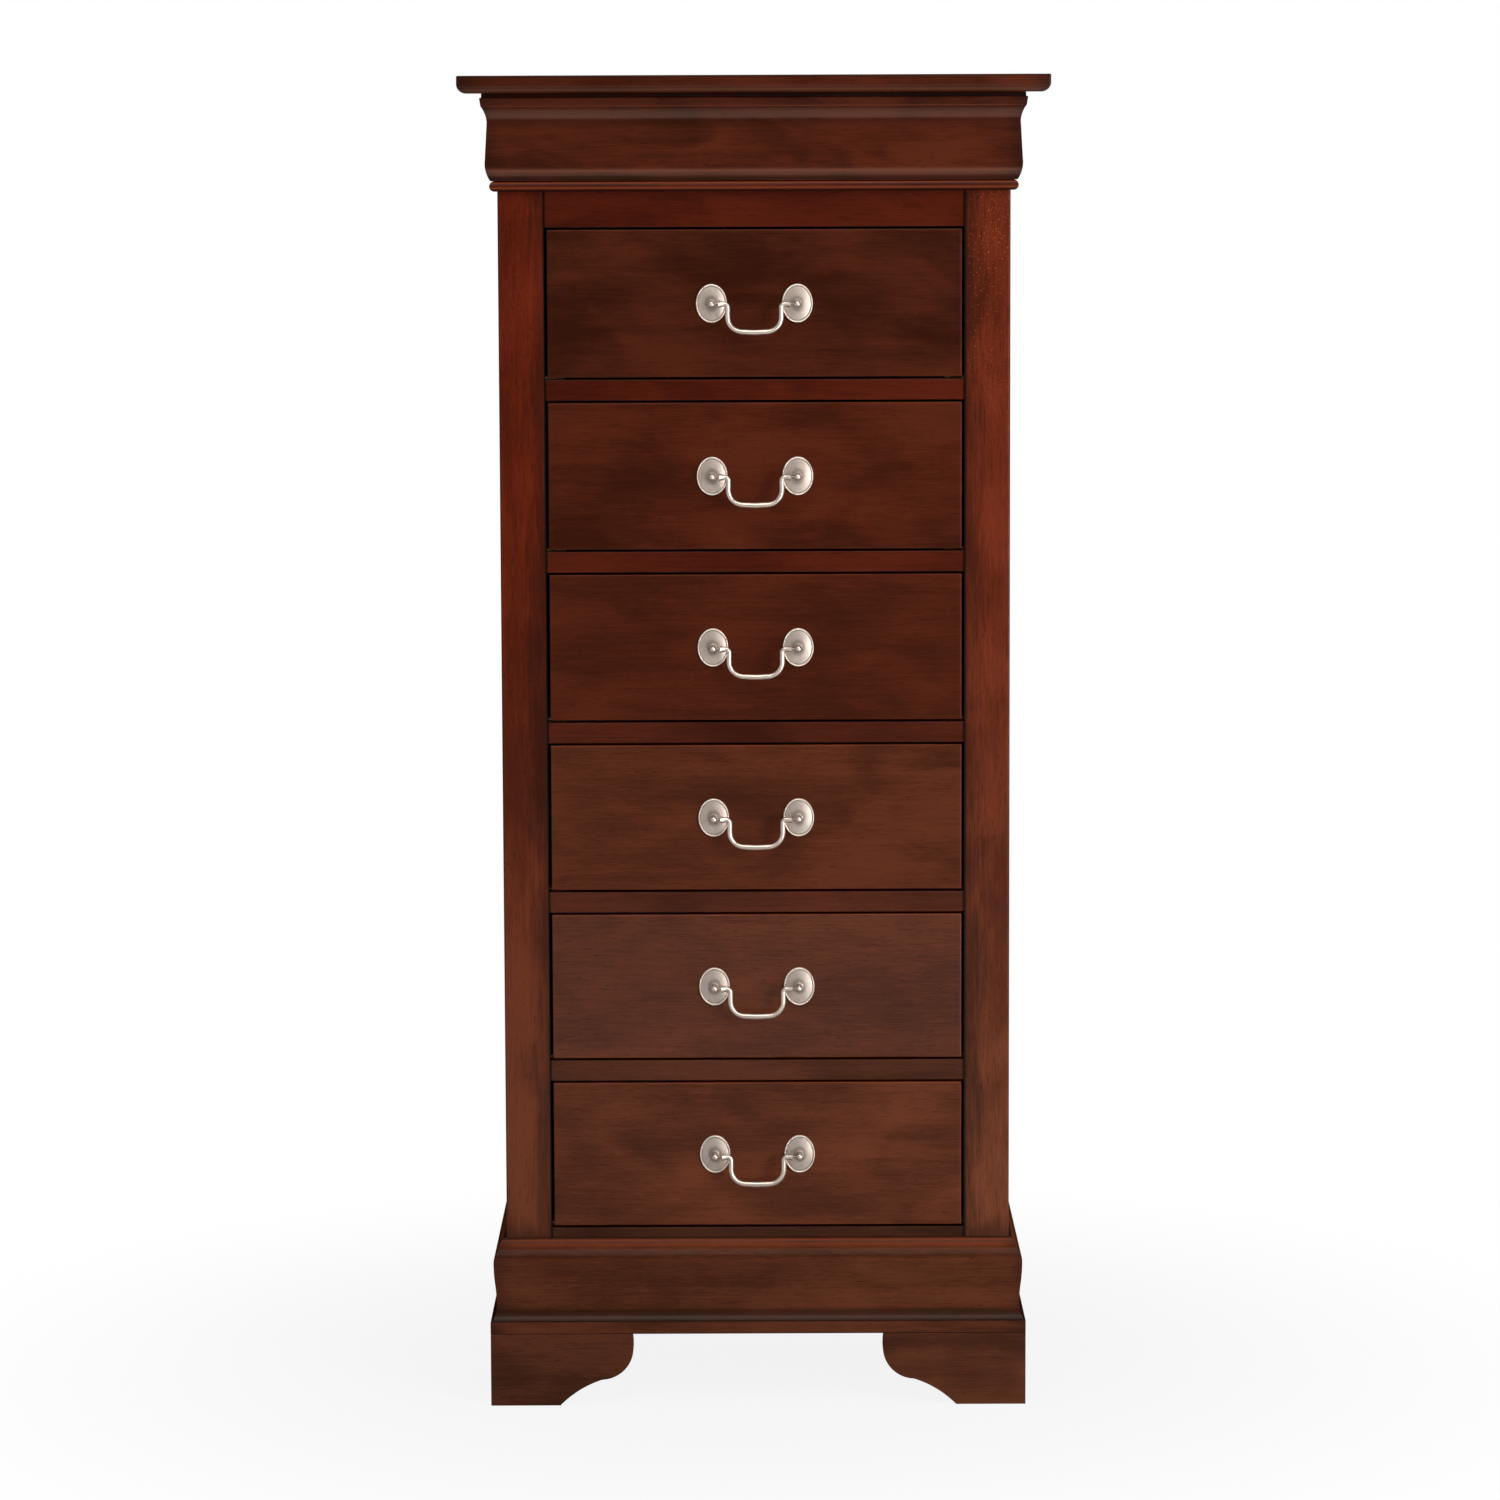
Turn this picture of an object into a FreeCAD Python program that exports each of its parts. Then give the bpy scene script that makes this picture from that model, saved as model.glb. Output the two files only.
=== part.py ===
import FreeCAD, Part
import math
import os
from types import SimpleNamespace

import Sketcher
from FreeCAD import Placement, Rotation, Vector

# A tall narrow chest: six flush drawers in a face-framed case, with an overhanging top board, a moulded
# crown and base, ogee bracket feet, and a swan-neck bail pull on each drawer.
# Millimetres. X runs to the right, the drawers open towards -Y, Z is up, and the origin lies on the floor
# under the middle of the top board. Drawers are numbered from the top.

DRAWER_COUNT = 6

# Driving dimensions: name, value, what it measures.
SIZES = (
    ("case_width", 492, "case across the outer faces of its side panels"),
    ("case_depth", 369.5, "case from the face of the posts to its back edge"),
    ("foot_height", 71.3, "floor to the underside of the case"),
    ("bottom_reveal", 9.65, "bottom rail that shows between the base and the lowest opening"),
    ("opening_height", 146, "each drawer opening"),
    ("rail_height", 20, "rail between two openings"),
    ("top_reveal", 34.45, "top rail that shows between the top opening and the bead"),
    ("post_width", 44.35, "front post, seen from the front"),
    ("post_thickness", 22, "front post and rails, front to back"),
    ("post_arris_radius", 2, "eased outer edge of a post"),
    ("rail_arris_radius", 0.8, "eased edge of a rail along a drawer opening"),
    ("panel_thickness", 16, "side panel"),
    ("rabbet_width", 8, "rabbet for the back panel, across the side panel"),
    ("rabbet_depth", 6, "rabbet for the back panel, front to back"),
    ("back_thickness", 5, "back panel"),
    ("back_clearance", 0.5, "back panel to each side of its rabbets"),
    ("rear_rail_height", 60, "upper rail inside the back panel"),
    ("rear_rail_thickness", 18, "both rails inside the back panel"),
    ("bottom_thickness", 12, "board that closes the underside of the case"),
    ("top_overhang", 36.5, "top board beyond the case, front and sides"),
    ("top_thickness", 17, "top board"),
    ("top_edge_radius", 9, "quarter round under the edge of the top board"),
    ("top_arris_radius", 1.5, "eased upper edge of the top board"),
    ("mitre_spare", 4, "moulding stock beyond a mitre before it is cut"),
    ("bead_height", 10, "half-round bead under the crown"),
    ("bead_flat", 2.3, "flat behind the round of the bead"),
    ("crown_foot_projection", 6.2, "lower edge of the crown"),
    ("crown_ovolo_height", 20.3, "round that rolls in at the foot of the crown"),
    ("crown_ovolo_radius", 30, "the same round"),
    ("crown_belly_projection", 11, "fullest part of the frieze"),
    ("crown_swell_height", 36, "frieze from its belly to its waist"),
    ("crown_waist_projection", 9, "waist under the cove"),
    ("crown_cove_height", 14.8, "cove from the waist to the nose"),
    ("crown_cove_radius", 28, "the same cove"),
    ("crown_nose_projection", 15.8, "flat nose above the cove, at its upper edge"),
    ("crown_nose_batter", 1.3, "nose from its upper edge in to its lower edge"),
    ("crown_nose_height", 8.2, "flat nose above the cove"),
    ("crown_neck_projection", 13.9, "neck between the nose and the top board"),
    ("crown_neck_height", 4, "neck between the nose and the top board"),
    ("base_fillet_projection", 16, "flat fillet along the bottom of the base"),
    ("base_fillet_height", 12.5, "flat fillet along the bottom of the base"),
    ("base_quirk", 1, "small step from the fillet to the flare"),
    ("base_flare_height", 14, "cove above the fillet"),
    ("base_flare_radius", 20, "the same cove"),
    ("base_waist_projection", 9.9, "waist above the flare"),
    ("base_swell_height", 44, "slow S from the waist to the belly"),
    ("base_swell_radius", 170, "both halves of the slow S"),
    ("base_belly_projection", 12.7, "fullest part below the steps"),
    ("base_belly_height", 12.2, "round from the belly in to the step"),
    ("base_belly_radius", 17.5, "the same round"),
    ("base_step_projection", 7.7, "upright step between the two rounds"),
    ("base_step_height", 1.8, "upright step between the two rounds"),
    ("base_round_height", 8.8, "upper round of the base"),
    ("base_round_radius", 9.4, "upper round of the base"),
    ("base_lip_projection", 1.5, "upper edge of the base"),
    ("foot_thickness", 20, "foot brackets"),
    ("foot_width", 139.8, "foot bracket out to the fullest part of its lobe"),
    ("foot_toe_width", 68, "foot bracket where it meets the floor"),
    ("foot_scoop_radius", 100, "hollow from the toe up to the cusp"),
    ("foot_lobe_drop", 12.5, "fullest part of the lobe below the underside of the case"),
    ("foot_lobe_rise", 33.2, "cusp below the fullest part of the lobe"),
    ("foot_lobe_reach", 30.5, "cusp in from the fullest part of the lobe"),
    ("foot_lobe_radius", 31.6, "lobe above the cusp"),
    ("foot_shoulder_setback", 1.2, "top of the foot bracket in from the fullest part"),
    ("foot_shoulder_radius", 59, "foot bracket between its fullest part and its top"),
    ("foot_block_width", 40, "glue block inside a foot"),
    ("foot_block_lift", 11, "glue block above the floor"),
    ("rear_foot_top_width", 100, "rear board of a rear foot, along its top"),
    ("rear_foot_toe_width", 40, "rear board of a rear foot, along the floor"),
    ("drawer_gap", 2.3, "drawer front to the edge of its opening"),
    ("front_thickness", 19, "drawer front"),
    ("front_arris_radius", 1.3, "eased edge of a drawer front"),
    ("box_clearance", 2.8, "drawer side to its guide, which is flush with the opening"),
    ("side_thickness", 12, "drawer sides"),
    ("side_height", 108, "drawer sides"),
    ("key_depth", 8, "dovetail key of a drawer side, into the front"),
    ("key_neck", 6, "dovetail key where it leaves the drawer side"),
    ("key_tip", 9, "dovetail key at its wide end"),
    ("key_clearance", 0.1, "dovetail key in its groove"),
    ("groove_depth", 6, "groove for the drawer bottom"),
    ("groove_height", 10, "groove above the lower edge of the drawer sides"),
    ("drawer_bottom_thickness", 5, "drawer bottom"),
    ("groove_clearance", 0.2, "drawer bottom in its groove, all round"),
    ("drawer_back_thickness", 12, "drawer back"),
    ("drawer_back_inset", 10, "drawer side behind the drawer back"),
    ("housing_depth", 5, "housing for the drawer back in each side"),
    ("housing_clearance", 0.2, "drawer back in its housings"),
    ("runner_thickness", 12, "runner strip under a drawer side"),
    ("running_clearance", 0.3, "drawer side above its runner"),
    ("runner_lip", 3, "runner beyond the inner face of a drawer side"),
    ("guide_height", 25, "guide strip beside a drawer side"),
    ("stop_depth", 12, "stop block behind a drawer side"),
    ("stop_height", 20, "stop block behind a drawer side"),
    ("stop_gap", 0.5, "closed drawer to its stops"),
    ("pull_spacing", 82.5, "between the two posts of a pull"),
    ("rosette_width", 30, "oval rosette"),
    ("rosette_height", 37.5, "oval rosette"),
    ("rosette_thickness", 2.6, "oval rosette at its rim"),
    ("rosette_rim_width", 2.4, "raised rim of the rosette"),
    ("rosette_dish_depth", 1.2, "dished field inside the rim"),
    ("rosette_chamfer", 0.9, "outer edge of the rim"),
    ("collar_diameter", 9, "collar of a pull post on its rosette"),
    ("collar_height", 1.6, "collar of a pull post on its rosette"),
    ("neck_diameter", 5, "pull post between collar and ball"),
    ("ball_diameter", 7, "ball head of a pull post"),
    ("pull_standoff", 17, "drawer face to the axis of the bail"),
    ("shank_diameter", 4, "threaded shank through the drawer front"),
    ("shank_clearance", 0.1, "shank in its holes, all round"),
    ("shank_spare", 1.5, "shank beyond its nut"),
    ("nut_width", 8, "nut across its corners"),
    ("nut_height", 3.2, "nut"),
    ("pin_diameter", 2.4, "pin of the bail"),
    ("pin_clearance", 0.05, "pin in the ball, all round"),
    ("pin_spare", 1.1, "pin beyond the ball"),
    ("bail_gap", 3.1, "flared end of the bail to the ball"),
    ("bail_flare_diameter", 6.6, "flared end of the bail"),
    ("bail_flare_length", 5.6, "flared end of the bail"),
    ("bail_wire_diameter", 4.8, "wire of the bail"),
    ("bail_shoulder_radius", 3.4, "upper bend of the bail, along its centre line"),
    ("bail_elbow_radius", 14, "lower bend of the bail, along its centre line"),
    ("bail_drop", 26.5, "axis of the bail to the middle of its grip"),
)


# The sheet, and lengths that carry both a number and the expression that binds it to the sheet
class Size:
    """A length known twice: as a number, and as expression text that follows the sheet."""

    def __init__(self, number, text):
        self.number = number
        self.text = text

    def __add__(self, other):
        other = as_size(other)
        return Size(self.number + other.number, f"({self.text} + {other.text})")

    def __sub__(self, other):
        other = as_size(other)
        return Size(self.number - other.number, f"({self.text} - {other.text})")

    def __mul__(self, other):
        other = as_size(other)
        return Size(self.number * other.number, f"({self.text} * {other.text})")

    def __truediv__(self, other):
        other = as_size(other)
        return Size(self.number / other.number, f"({self.text} / {other.text})")

    def __radd__(self, other):
        return as_size(other) + self

    def __rsub__(self, other):
        return as_size(other) - self

    def __rmul__(self, other):
        return as_size(other) * self

    def __neg__(self):
        return Size(-self.number, f"(-{self.text})")

    def root(self):
        return Size(math.sqrt(self.number), f"sqrt({self.text})")


def as_size(length):
    return length if isinstance(length, Size) else Size(length, str(length))


def fill_sheet(sheet):
    for row, (name, number, note) in enumerate(SIZES, start=1):
        sheet.set(f"A{row}", note)
        sheet.set(f"B{row}", str(number))
        sheet.setAlias(f"B{row}", name)


doc = FreeCAD.newDocument("Chest")
sizes_sheet = doc.addObject("Spreadsheet::Sheet", "Sizes")
fill_sheet(sizes_sheet)
doc.recompute()
size = SimpleNamespace(**{name: Size(sizes_sheet.get(name), f"Sizes.{name}") for name, _, _ in SIZES})
nodes = []


# Where the main planes of the case lie
top_depth = size.case_depth + size.top_overhang
case_back = top_depth / 2
case_front = case_back - size.case_depth
case_side = size.case_width / 2
opening_side = case_side - size.post_width
panel_inside = case_side - size.panel_thickness
frame_back = case_front + size.post_thickness
back_seat = case_back - size.rabbet_depth
drawer_pitch = size.opening_height + size.rail_height
crown_height = (
    size.crown_ovolo_height
    + size.crown_swell_height
    + size.crown_cove_height
    + size.crown_nose_height
    + size.crown_neck_height
)
base_height = (
    size.base_fillet_height
    + size.base_flare_height
    + size.base_swell_height
    + size.base_belly_height
    + size.base_step_height
    + size.base_round_height
)
lowest_floor = size.foot_height + base_height + size.bottom_reveal
top_rail_bottom = lowest_floor + DRAWER_COUNT * drawer_pitch - size.rail_height
case_top = top_rail_bottom + size.top_reveal + size.bead_height + crown_height
case_height = case_top - size.foot_height
box_side = opening_side - size.box_clearance
box_inside = box_side - size.side_thickness
box_back = back_seat - size.stop_depth - size.stop_gap
front_width = 2 * (opening_side - size.drawer_gap)
front_height = size.opening_height - 2 * size.drawer_gap
front_back = case_front + size.front_thickness


def floor_of(drawer):
    """Height of the lower edge of a drawer's opening."""
    return lowest_floor + (DRAWER_COUNT - drawer) * drawer_pitch


def runner_top(drawer):
    return floor_of(drawer) + size.drawer_gap - size.running_clearance


# Building blocks
def bind(thing, prop, length):
    thing.setExpression(prop, as_size(length).text)


def place(thing, x, y, z, rotation=None):
    if rotation:
        thing.Placement = Placement(Vector(), rotation)
    for axis, length in zip("xyz", (x, y, z)):
        bind(thing, f"Placement.Base.{axis}", length)


def keep(thing):
    """Counts a finished object as a node, written out under its label."""
    nodes.append(thing)
    return thing


def box(label, low, high):
    """Board between two opposite corners."""
    board = doc.addObject("Part::Box", label)
    for prop, near, far in zip(("Length", "Width", "Height"), low, high):
        bind(board, prop, far - near)
    place(board, *low)
    return board


def group(label, members):
    """Separate solids that share one node."""
    together = doc.addObject("Part::Compound", label)
    together.Links = members
    return together


def mirrored(label, source, normal=Vector(1, 0, 0)):
    """The same piece on the other side of a plane through the origin."""
    twin = doc.addObject("Part::Mirroring", label)
    twin.Source = source
    twin.Normal = normal
    return twin


def new_body(label):
    return doc.addObject("PartDesign::Body", label)


def origin_plane(body, role):
    return next(feature for feature in body.Origin.OriginFeatures if feature.Role == role)


def attach(sketch, body, role, offset):
    sketch.AttachmentSupport = [(origin_plane(body, role), "")]
    sketch.MapMode = "FlatFace"
    bind(sketch, "AttachmentOffset.Base.z", offset)


def pin(sketch, line, end, point):
    """Holds one end of a sketch line at its distances from the sketch's two axes."""
    for kind, axis, length in (("DistanceX", -2, point[0]), ("DistanceY", -1, point[1])):
        if length.text == "0":
            sketch.addConstraint(Sketcher.Constraint("PointOnObject", line, end, axis))
        else:
            distance = Sketcher.Constraint(kind, -1, 1, line, end, length.number)
            bind(sketch, f"Constraints[{sketch.addConstraint(distance)}]", length)


def arc_between(start, end, radius):
    """Arc of less than half a turn that leaves start and comes to end turning left."""
    chord = end - start
    rise = math.sqrt(max(radius * radius - chord.Length * chord.Length / 4, 0))
    left = Vector(-chord.y, chord.x, 0).normalize()
    centre = (start + end) / 2 + left * rise
    angles = [math.atan2(point.y - centre.y, point.x - centre.x) for point in (start, end)]
    return Part.ArcOfCircle(Part.Circle(centre, Vector(0, 0, 1), radius), *angles)


def outline(body, name, role, points, bulge=(), hollow=(), closed=True, offset=0):
    """Sketch through points that run anticlockwise. A side named, by its number, in bulge or hollow is an
    arc of that radius, swelling out of the outline or biting into it; the other sides are straight."""
    sketch = body.newObject("Sketcher::SketchObject", name)
    attach(sketch, body, role, offset)
    bulge = dict(bulge)
    hollow = dict(hollow)
    points = [(as_size(x), as_size(y)) for x, y in points]
    spots = [Vector(x.number, y.number, 0) for x, y in points]
    count = len(points) if closed else len(points) - 1
    ends = []
    for side in range(count):
        start = spots[side]
        end = spots[(side + 1) % len(spots)]
        if side in bulge:
            sketch.addGeometry(arc_between(start, end, as_size(bulge[side]).number))
        elif side in hollow:
            sketch.addGeometry(arc_between(end, start, as_size(hollow[side]).number))
        else:
            sketch.addGeometry(Part.LineSegment(start, end))
        ends.append((2, 1) if side in hollow else (1, 2))
    for side in range(count if closed else count - 1):
        following = (side + 1) % count
        sketch.addConstraint(
            Sketcher.Constraint("Coincident", side, ends[side][1], following, ends[following][0])
        )
    for side in range(count):
        pin(sketch, side, ends[side][0], points[side])
    if not closed:
        pin(sketch, count - 1, ends[-1][1], points[-1])
    for side, radius in {**bulge, **hollow}.items():
        rounding = Sketcher.Constraint("Radius", side, as_size(radius).number)
        bind(sketch, f"Constraints[{sketch.addConstraint(rounding)}]", radius)
    return sketch


def circle(body, name, role, centre, diameter, offset=0):
    sketch = body.newObject("Sketcher::SketchObject", name)
    attach(sketch, body, role, offset)
    centre = tuple(as_size(length) for length in centre)
    spot = Vector(centre[0].number, centre[1].number, 0)
    sketch.addGeometry(Part.Circle(spot, Vector(0, 0, 1), diameter.number / 2))
    pin(sketch, 0, 3, centre)
    width = Sketcher.Constraint("Diameter", 0, diameter.number)
    bind(sketch, f"Constraints[{sketch.addConstraint(width)}]", diameter)
    return sketch


def oval(body, name, width, height, offset=0):
    """Upright ellipse about the body's own Z axis."""
    sketch = body.newObject("Sketcher::SketchObject", name)
    attach(sketch, body, "XY_Plane", offset)
    tip = Vector(0, height.number / 2, 0)
    flank = Vector(width.number / 2, 0, 0)
    sketch.addGeometry(Part.Ellipse(tip, flank, Vector()))
    sketch.exposeInternalGeometry(0)
    sketch.addConstraint(Sketcher.Constraint("Coincident", 0, 3, -1, 1))
    sketch.addConstraint(Sketcher.Constraint("Vertical", 1))
    for line, length in ((1, height), (2, width)):
        span = Sketcher.Constraint("Distance", line, length.number)
        bind(sketch, f"Constraints[{sketch.addConstraint(span)}]", length)
    return sketch


def pad(body, sketch, length, reverse=False):
    feature = body.newObject("PartDesign::Pad", f"{sketch.Name}_pad")
    feature.Profile = sketch
    feature.Reversed = reverse
    bind(feature, "Length", length)
    return feature


def pocket(body, sketch, length=None, reverse=False, both_ways=False):
    """Cut as deep as length, or right through where none is given, that must take something away."""
    doc.recompute()
    before = body.Shape.Volume
    feature = body.newObject("PartDesign::Pocket", f"{sketch.Name}_pocket")
    feature.Profile = sketch
    feature.Reversed = reverse
    if both_ways:
        feature.SideType = "Symmetric"
    if length is None:
        feature.Type = "ThroughAll"
    else:
        bind(feature, "Length", length)
    doc.recompute()
    if not body.Shape.Volume < before:
        raise RuntimeError(f"{feature.Name} of {body.Label} cuts nothing")
    return feature


def ease(body, base, kind, prop, length, chosen):
    """Fillet or Chamfer on the edges of base whose middle point passes the test chosen."""
    doc.recompute()
    feature = body.newObject(f"PartDesign::{kind}", f"{base.Name}_{kind.lower()}")
    picked = [f"Edge{n}" for n, edge in enumerate(base.Shape.Edges, start=1) if chosen(edge)]
    feature.Base = (base, picked)
    bind(feature, prop, length)
    doc.recompute()
    return feature


def near(a, b):
    return abs(a - b) < 1e-4


# Top board
def top_board():
    width = size.case_width + 2 * size.top_overhang
    body = new_body("top_panel")
    corners = [(0, 0), (width, 0), (width, top_depth), (0, top_depth)]
    slab = pad(body, outline(body, "top_plan", "XY_Plane", corners), size.top_thickness)

    def along_edge(edge, height):
        middle = edge.CenterOfMass
        return near(middle.z, height) and not near(middle.y, top_depth.number)

    rounded = ease(body, slab, "Fillet", "Radius", size.top_edge_radius, lambda edge: along_edge(edge, 0))
    thickness = size.top_thickness.number
    ease(body, rounded, "Fillet", "Radius", size.top_arris_radius, lambda edge: along_edge(edge, thickness))
    place(body, -width / 2, -case_back, case_top)
    keep(body)


# Mouldings of the crown, the bead and the base
def strip(label, points, bulge, hollow, reach, length, both_ends):
    """Moulding with its profile in x, outward, and z, up, along y. Its first end, or each end, is mitred
    back by reach at the wall that it is fixed to."""
    body = new_body(label)
    profile = outline(body, f"{label}_profile", "XZ_Plane", points, bulge, hollow)
    pad(body, profile, length, reverse=True)
    first = [(0, 0), (reach, 0), (0, reach)]
    pocket(body, outline(body, f"{label}_first", "XY_Plane", first), reverse=True)
    if both_ends:
        last = [(0, length - reach), (reach, length), (0, length)]
        pocket(body, outline(body, f"{label}_last", "XY_Plane", last), reverse=True)
    return body


def three_strips(label, points, bulge, hollow, projection, foot):
    """Front, left and right lengths of one moulding, fixed to the case with their lower edge at foot."""
    reach = projection + size.mitre_spare
    profile = (points, bulge, hollow, reach)
    front = strip(f"{label}_front", *profile, size.case_width + 2 * reach, both_ends=True)
    place(front, -case_side - reach, case_front, foot, Rotation(Vector(0, 0, 1), -90))
    right = strip(f"{label}_right", *profile, size.case_depth + reach, both_ends=False)
    place(right, case_side, case_front - reach, foot)
    return [front, mirrored(f"{label}_left", right), right]


def crown():
    belly = size.crown_ovolo_height
    waist = belly + size.crown_swell_height
    nose = waist + size.crown_cove_height
    neck = nose + size.crown_nose_height
    points = [
        (0, 0),
        (size.crown_foot_projection, 0),
        (size.crown_belly_projection, belly),
        (size.crown_waist_projection, waist),
        (size.crown_nose_projection - size.crown_nose_batter, nose),
        (size.crown_nose_projection, neck),
        (size.crown_neck_projection, neck),
        (size.crown_neck_projection, crown_height),
        (0, crown_height),
    ]
    foot = case_top - crown_height
    rounds = {1: size.crown_ovolo_radius}
    coves = {3: size.crown_cove_radius}
    for piece in three_strips("crown", points, rounds, coves, size.crown_nose_projection, foot):
        keep(piece)


def bead():
    radius = size.bead_height / 2
    projection = size.bead_flat + radius
    points = [
        (0, 0),
        (size.bead_flat, 0),
        (projection, radius),
        (size.bead_flat, size.bead_height),
        (0, size.bead_height),
    ]
    foot = case_top - crown_height - size.bead_height
    rounds = {1: radius, 2: radius}
    keep(group("bead_moulding", three_strips("bead", points, rounds, {}, projection, foot)))


def base():
    waist = size.base_fillet_height + size.base_flare_height
    middle = waist + size.base_swell_height / 2
    belly = waist + size.base_swell_height
    step = belly + size.base_belly_height
    step_top = step + size.base_step_height
    points = [
        (0, 0),
        (size.base_fillet_projection, 0),
        (size.base_fillet_projection, size.base_fillet_height),
        (size.base_fillet_projection - size.base_quirk, size.base_fillet_height),
        (size.base_waist_projection, waist),
        ((size.base_waist_projection + size.base_belly_projection) / 2, middle),
        (size.base_belly_projection, belly),
        (size.base_step_projection, step),
        (size.base_step_projection, step_top),
        (size.base_lip_projection, base_height),
        (0, base_height),
    ]
    bulge = {5: size.base_swell_radius, 6: size.base_belly_radius, 8: size.base_round_radius}
    hollow = {3: size.base_flare_radius, 4: size.base_swell_radius}
    strips = three_strips("base", points, bulge, hollow, size.base_fillet_projection, size.foot_height)
    for piece in strips:
        keep(piece)


# Case: posts, panels, rails and back
def posts():
    body = new_body("right_front_post")
    corners = [
        (0, 0),
        (size.post_width, 0),
        (size.post_width, size.post_thickness),
        (0, size.post_thickness),
    ]
    stock = pad(body, outline(body, "post_plan", "XY_Plane", corners), case_height)

    def outer_edge(edge):
        middle = edge.CenterOfMass
        return near(middle.x, size.post_width.number) and near(middle.y, 0)

    ease(body, stock, "Fillet", "Radius", size.post_arris_radius, outer_edge)
    place(body, opening_side, case_front, size.foot_height)
    keep(body)
    keep(mirrored("left_front_post", body))


def side_panels():
    length = size.case_depth - size.post_thickness
    seat = length - size.rabbet_depth
    corners = [
        (0, 0),
        (size.panel_thickness, 0),
        (size.panel_thickness, length),
        (size.rabbet_width, length),
        (size.rabbet_width, seat),
        (0, seat),
    ]
    body = new_body("right_side_panel")
    pad(body, outline(body, "panel_plan", "XY_Plane", corners), case_height)
    place(body, panel_inside, frame_back, size.foot_height)
    keep(body)
    keep(mirrored("left_side_panel", body))


def rails():
    def rail(label, foot, top, openings):
        """Rail across the front, eased along each of the named sides that has a drawer opening."""
        width = 2 * opening_side
        height = top - foot
        body = new_body(label)
        corners = [(0, 0), (width, 0), (width, height), (0, height)]
        face = outline(body, f"{label}_face", "XZ_Plane", corners)
        board = pad(body, face, size.post_thickness, reverse=True)
        levels = [{"below": 0, "above": height.number}[side] for side in openings]

        def along_opening(edge):
            middle = edge.CenterOfMass
            return near(middle.y, 0) and any(near(middle.z, level) for level in levels)

        ease(body, board, "Fillet", "Radius", size.rail_arris_radius, along_opening)
        place(body, -opening_side, case_front, foot)
        return body

    keep(rail("top_rail", top_rail_bottom, case_top, ["below"]))
    keep(rail("bottom_rail", size.foot_height, lowest_floor, ["above"]))
    dividers = []
    for drawer in range(1, DRAWER_COUNT):
        top = floor_of(drawer)
        dividers.append(rail(f"divider_rail_{drawer}", top - size.rail_height, top, ["below", "above"]))
    keep(group("divider_rails", dividers))


def back_and_bottom():
    back_side = panel_inside + size.rabbet_width - size.back_clearance
    keep(
        box(
            "back_panel",
            (-back_side, back_seat, size.foot_height),
            (back_side, back_seat + size.back_thickness, case_top),
        )
    )
    bottom_top = size.foot_height + size.bottom_thickness
    keep(
        box(
            "bottom_panel",
            (-panel_inside, frame_back, size.foot_height),
            (panel_inside, back_seat, bottom_top),
        )
    )
    lowest_runner = runner_top(DRAWER_COUNT) - size.runner_thickness
    spans = {"upper": (case_top - size.rear_rail_height, case_top), "lower": (bottom_top, lowest_runner)}
    rear_rails = [
        box(
            f"{name}_rear_rail",
            (-panel_inside, back_seat - size.rear_rail_thickness, low),
            (panel_inside, back_seat, high),
        )
        for name, (low, high) in spans.items()
    ]
    keep(group("rear_rails", rear_rails))


# Runners, guides and stops that carry the drawers
def runners():
    strips = []
    stops = []
    runner_inside = box_inside - size.runner_lip
    for drawer in range(1, DRAWER_COUNT + 1):
        top = runner_top(drawer)
        runner = box(
            f"runner_{drawer}",
            (runner_inside, frame_back, top - size.runner_thickness),
            (panel_inside, back_seat, top),
        )
        guide = box(
            f"guide_{drawer}",
            (opening_side, frame_back, top),
            (panel_inside, back_seat, top + size.guide_height),
        )
        stop = box(
            f"stop_{drawer}",
            (box_inside, back_seat - size.stop_depth, top),
            (box_side, back_seat, top + size.stop_height),
        )
        for piece in (runner, guide):
            strips += [piece, mirrored(f"{piece.Label}_left", piece)]
        stops += [stop, mirrored(f"{stop.Label}_left", stop)]
    keep(group("drawer_runners", strips))
    keep(group("drawer_stops", stops))


# Ogee bracket feet
def bracket(label, mitre):
    """Scrolled bracket that runs along x from its outer corner, with its face at y = 0."""
    fullest = size.foot_height - size.foot_lobe_drop
    points = [
        (0, 0),
        (size.foot_toe_width, 0),
        (size.foot_width - size.foot_lobe_reach, fullest - size.foot_lobe_rise),
        (size.foot_width, fullest),
        (size.foot_width - size.foot_shoulder_setback, size.foot_height),
        (0, size.foot_height),
    ]
    body = new_body(label)
    face = outline(
        body,
        f"{label}_face",
        "XZ_Plane",
        points,
        bulge={2: size.foot_lobe_radius, 3: size.foot_shoulder_radius},
        hollow={1: size.foot_scoop_radius},
    )
    pad(body, face, size.foot_thickness, reverse=True)
    if mitre:
        corner = [(0, 0), (size.foot_thickness, size.foot_thickness), (0, size.foot_thickness)]
        pocket(body, outline(body, f"{label}_mitre", "XY_Plane", corner), reverse=True)
    return body


def glue_block(label):
    inside = size.foot_thickness
    outside = inside + size.foot_block_width
    return box(label, (inside, inside, size.foot_block_lift), (outside, outside, size.foot_height))


def rear_board(label):
    """Plain sloping board across the back of a rear foot, running along x inside the bracket."""
    corners = [
        (0, 0),
        (size.rear_foot_toe_width, 0),
        (size.rear_foot_top_width, size.foot_height),
        (0, size.foot_height),
    ]
    body = new_body(label)
    pad(body, outline(body, f"{label}_face", "XZ_Plane", corners), size.foot_thickness, reverse=True)
    place(body, size.foot_thickness, 0, 0)
    return body


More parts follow.
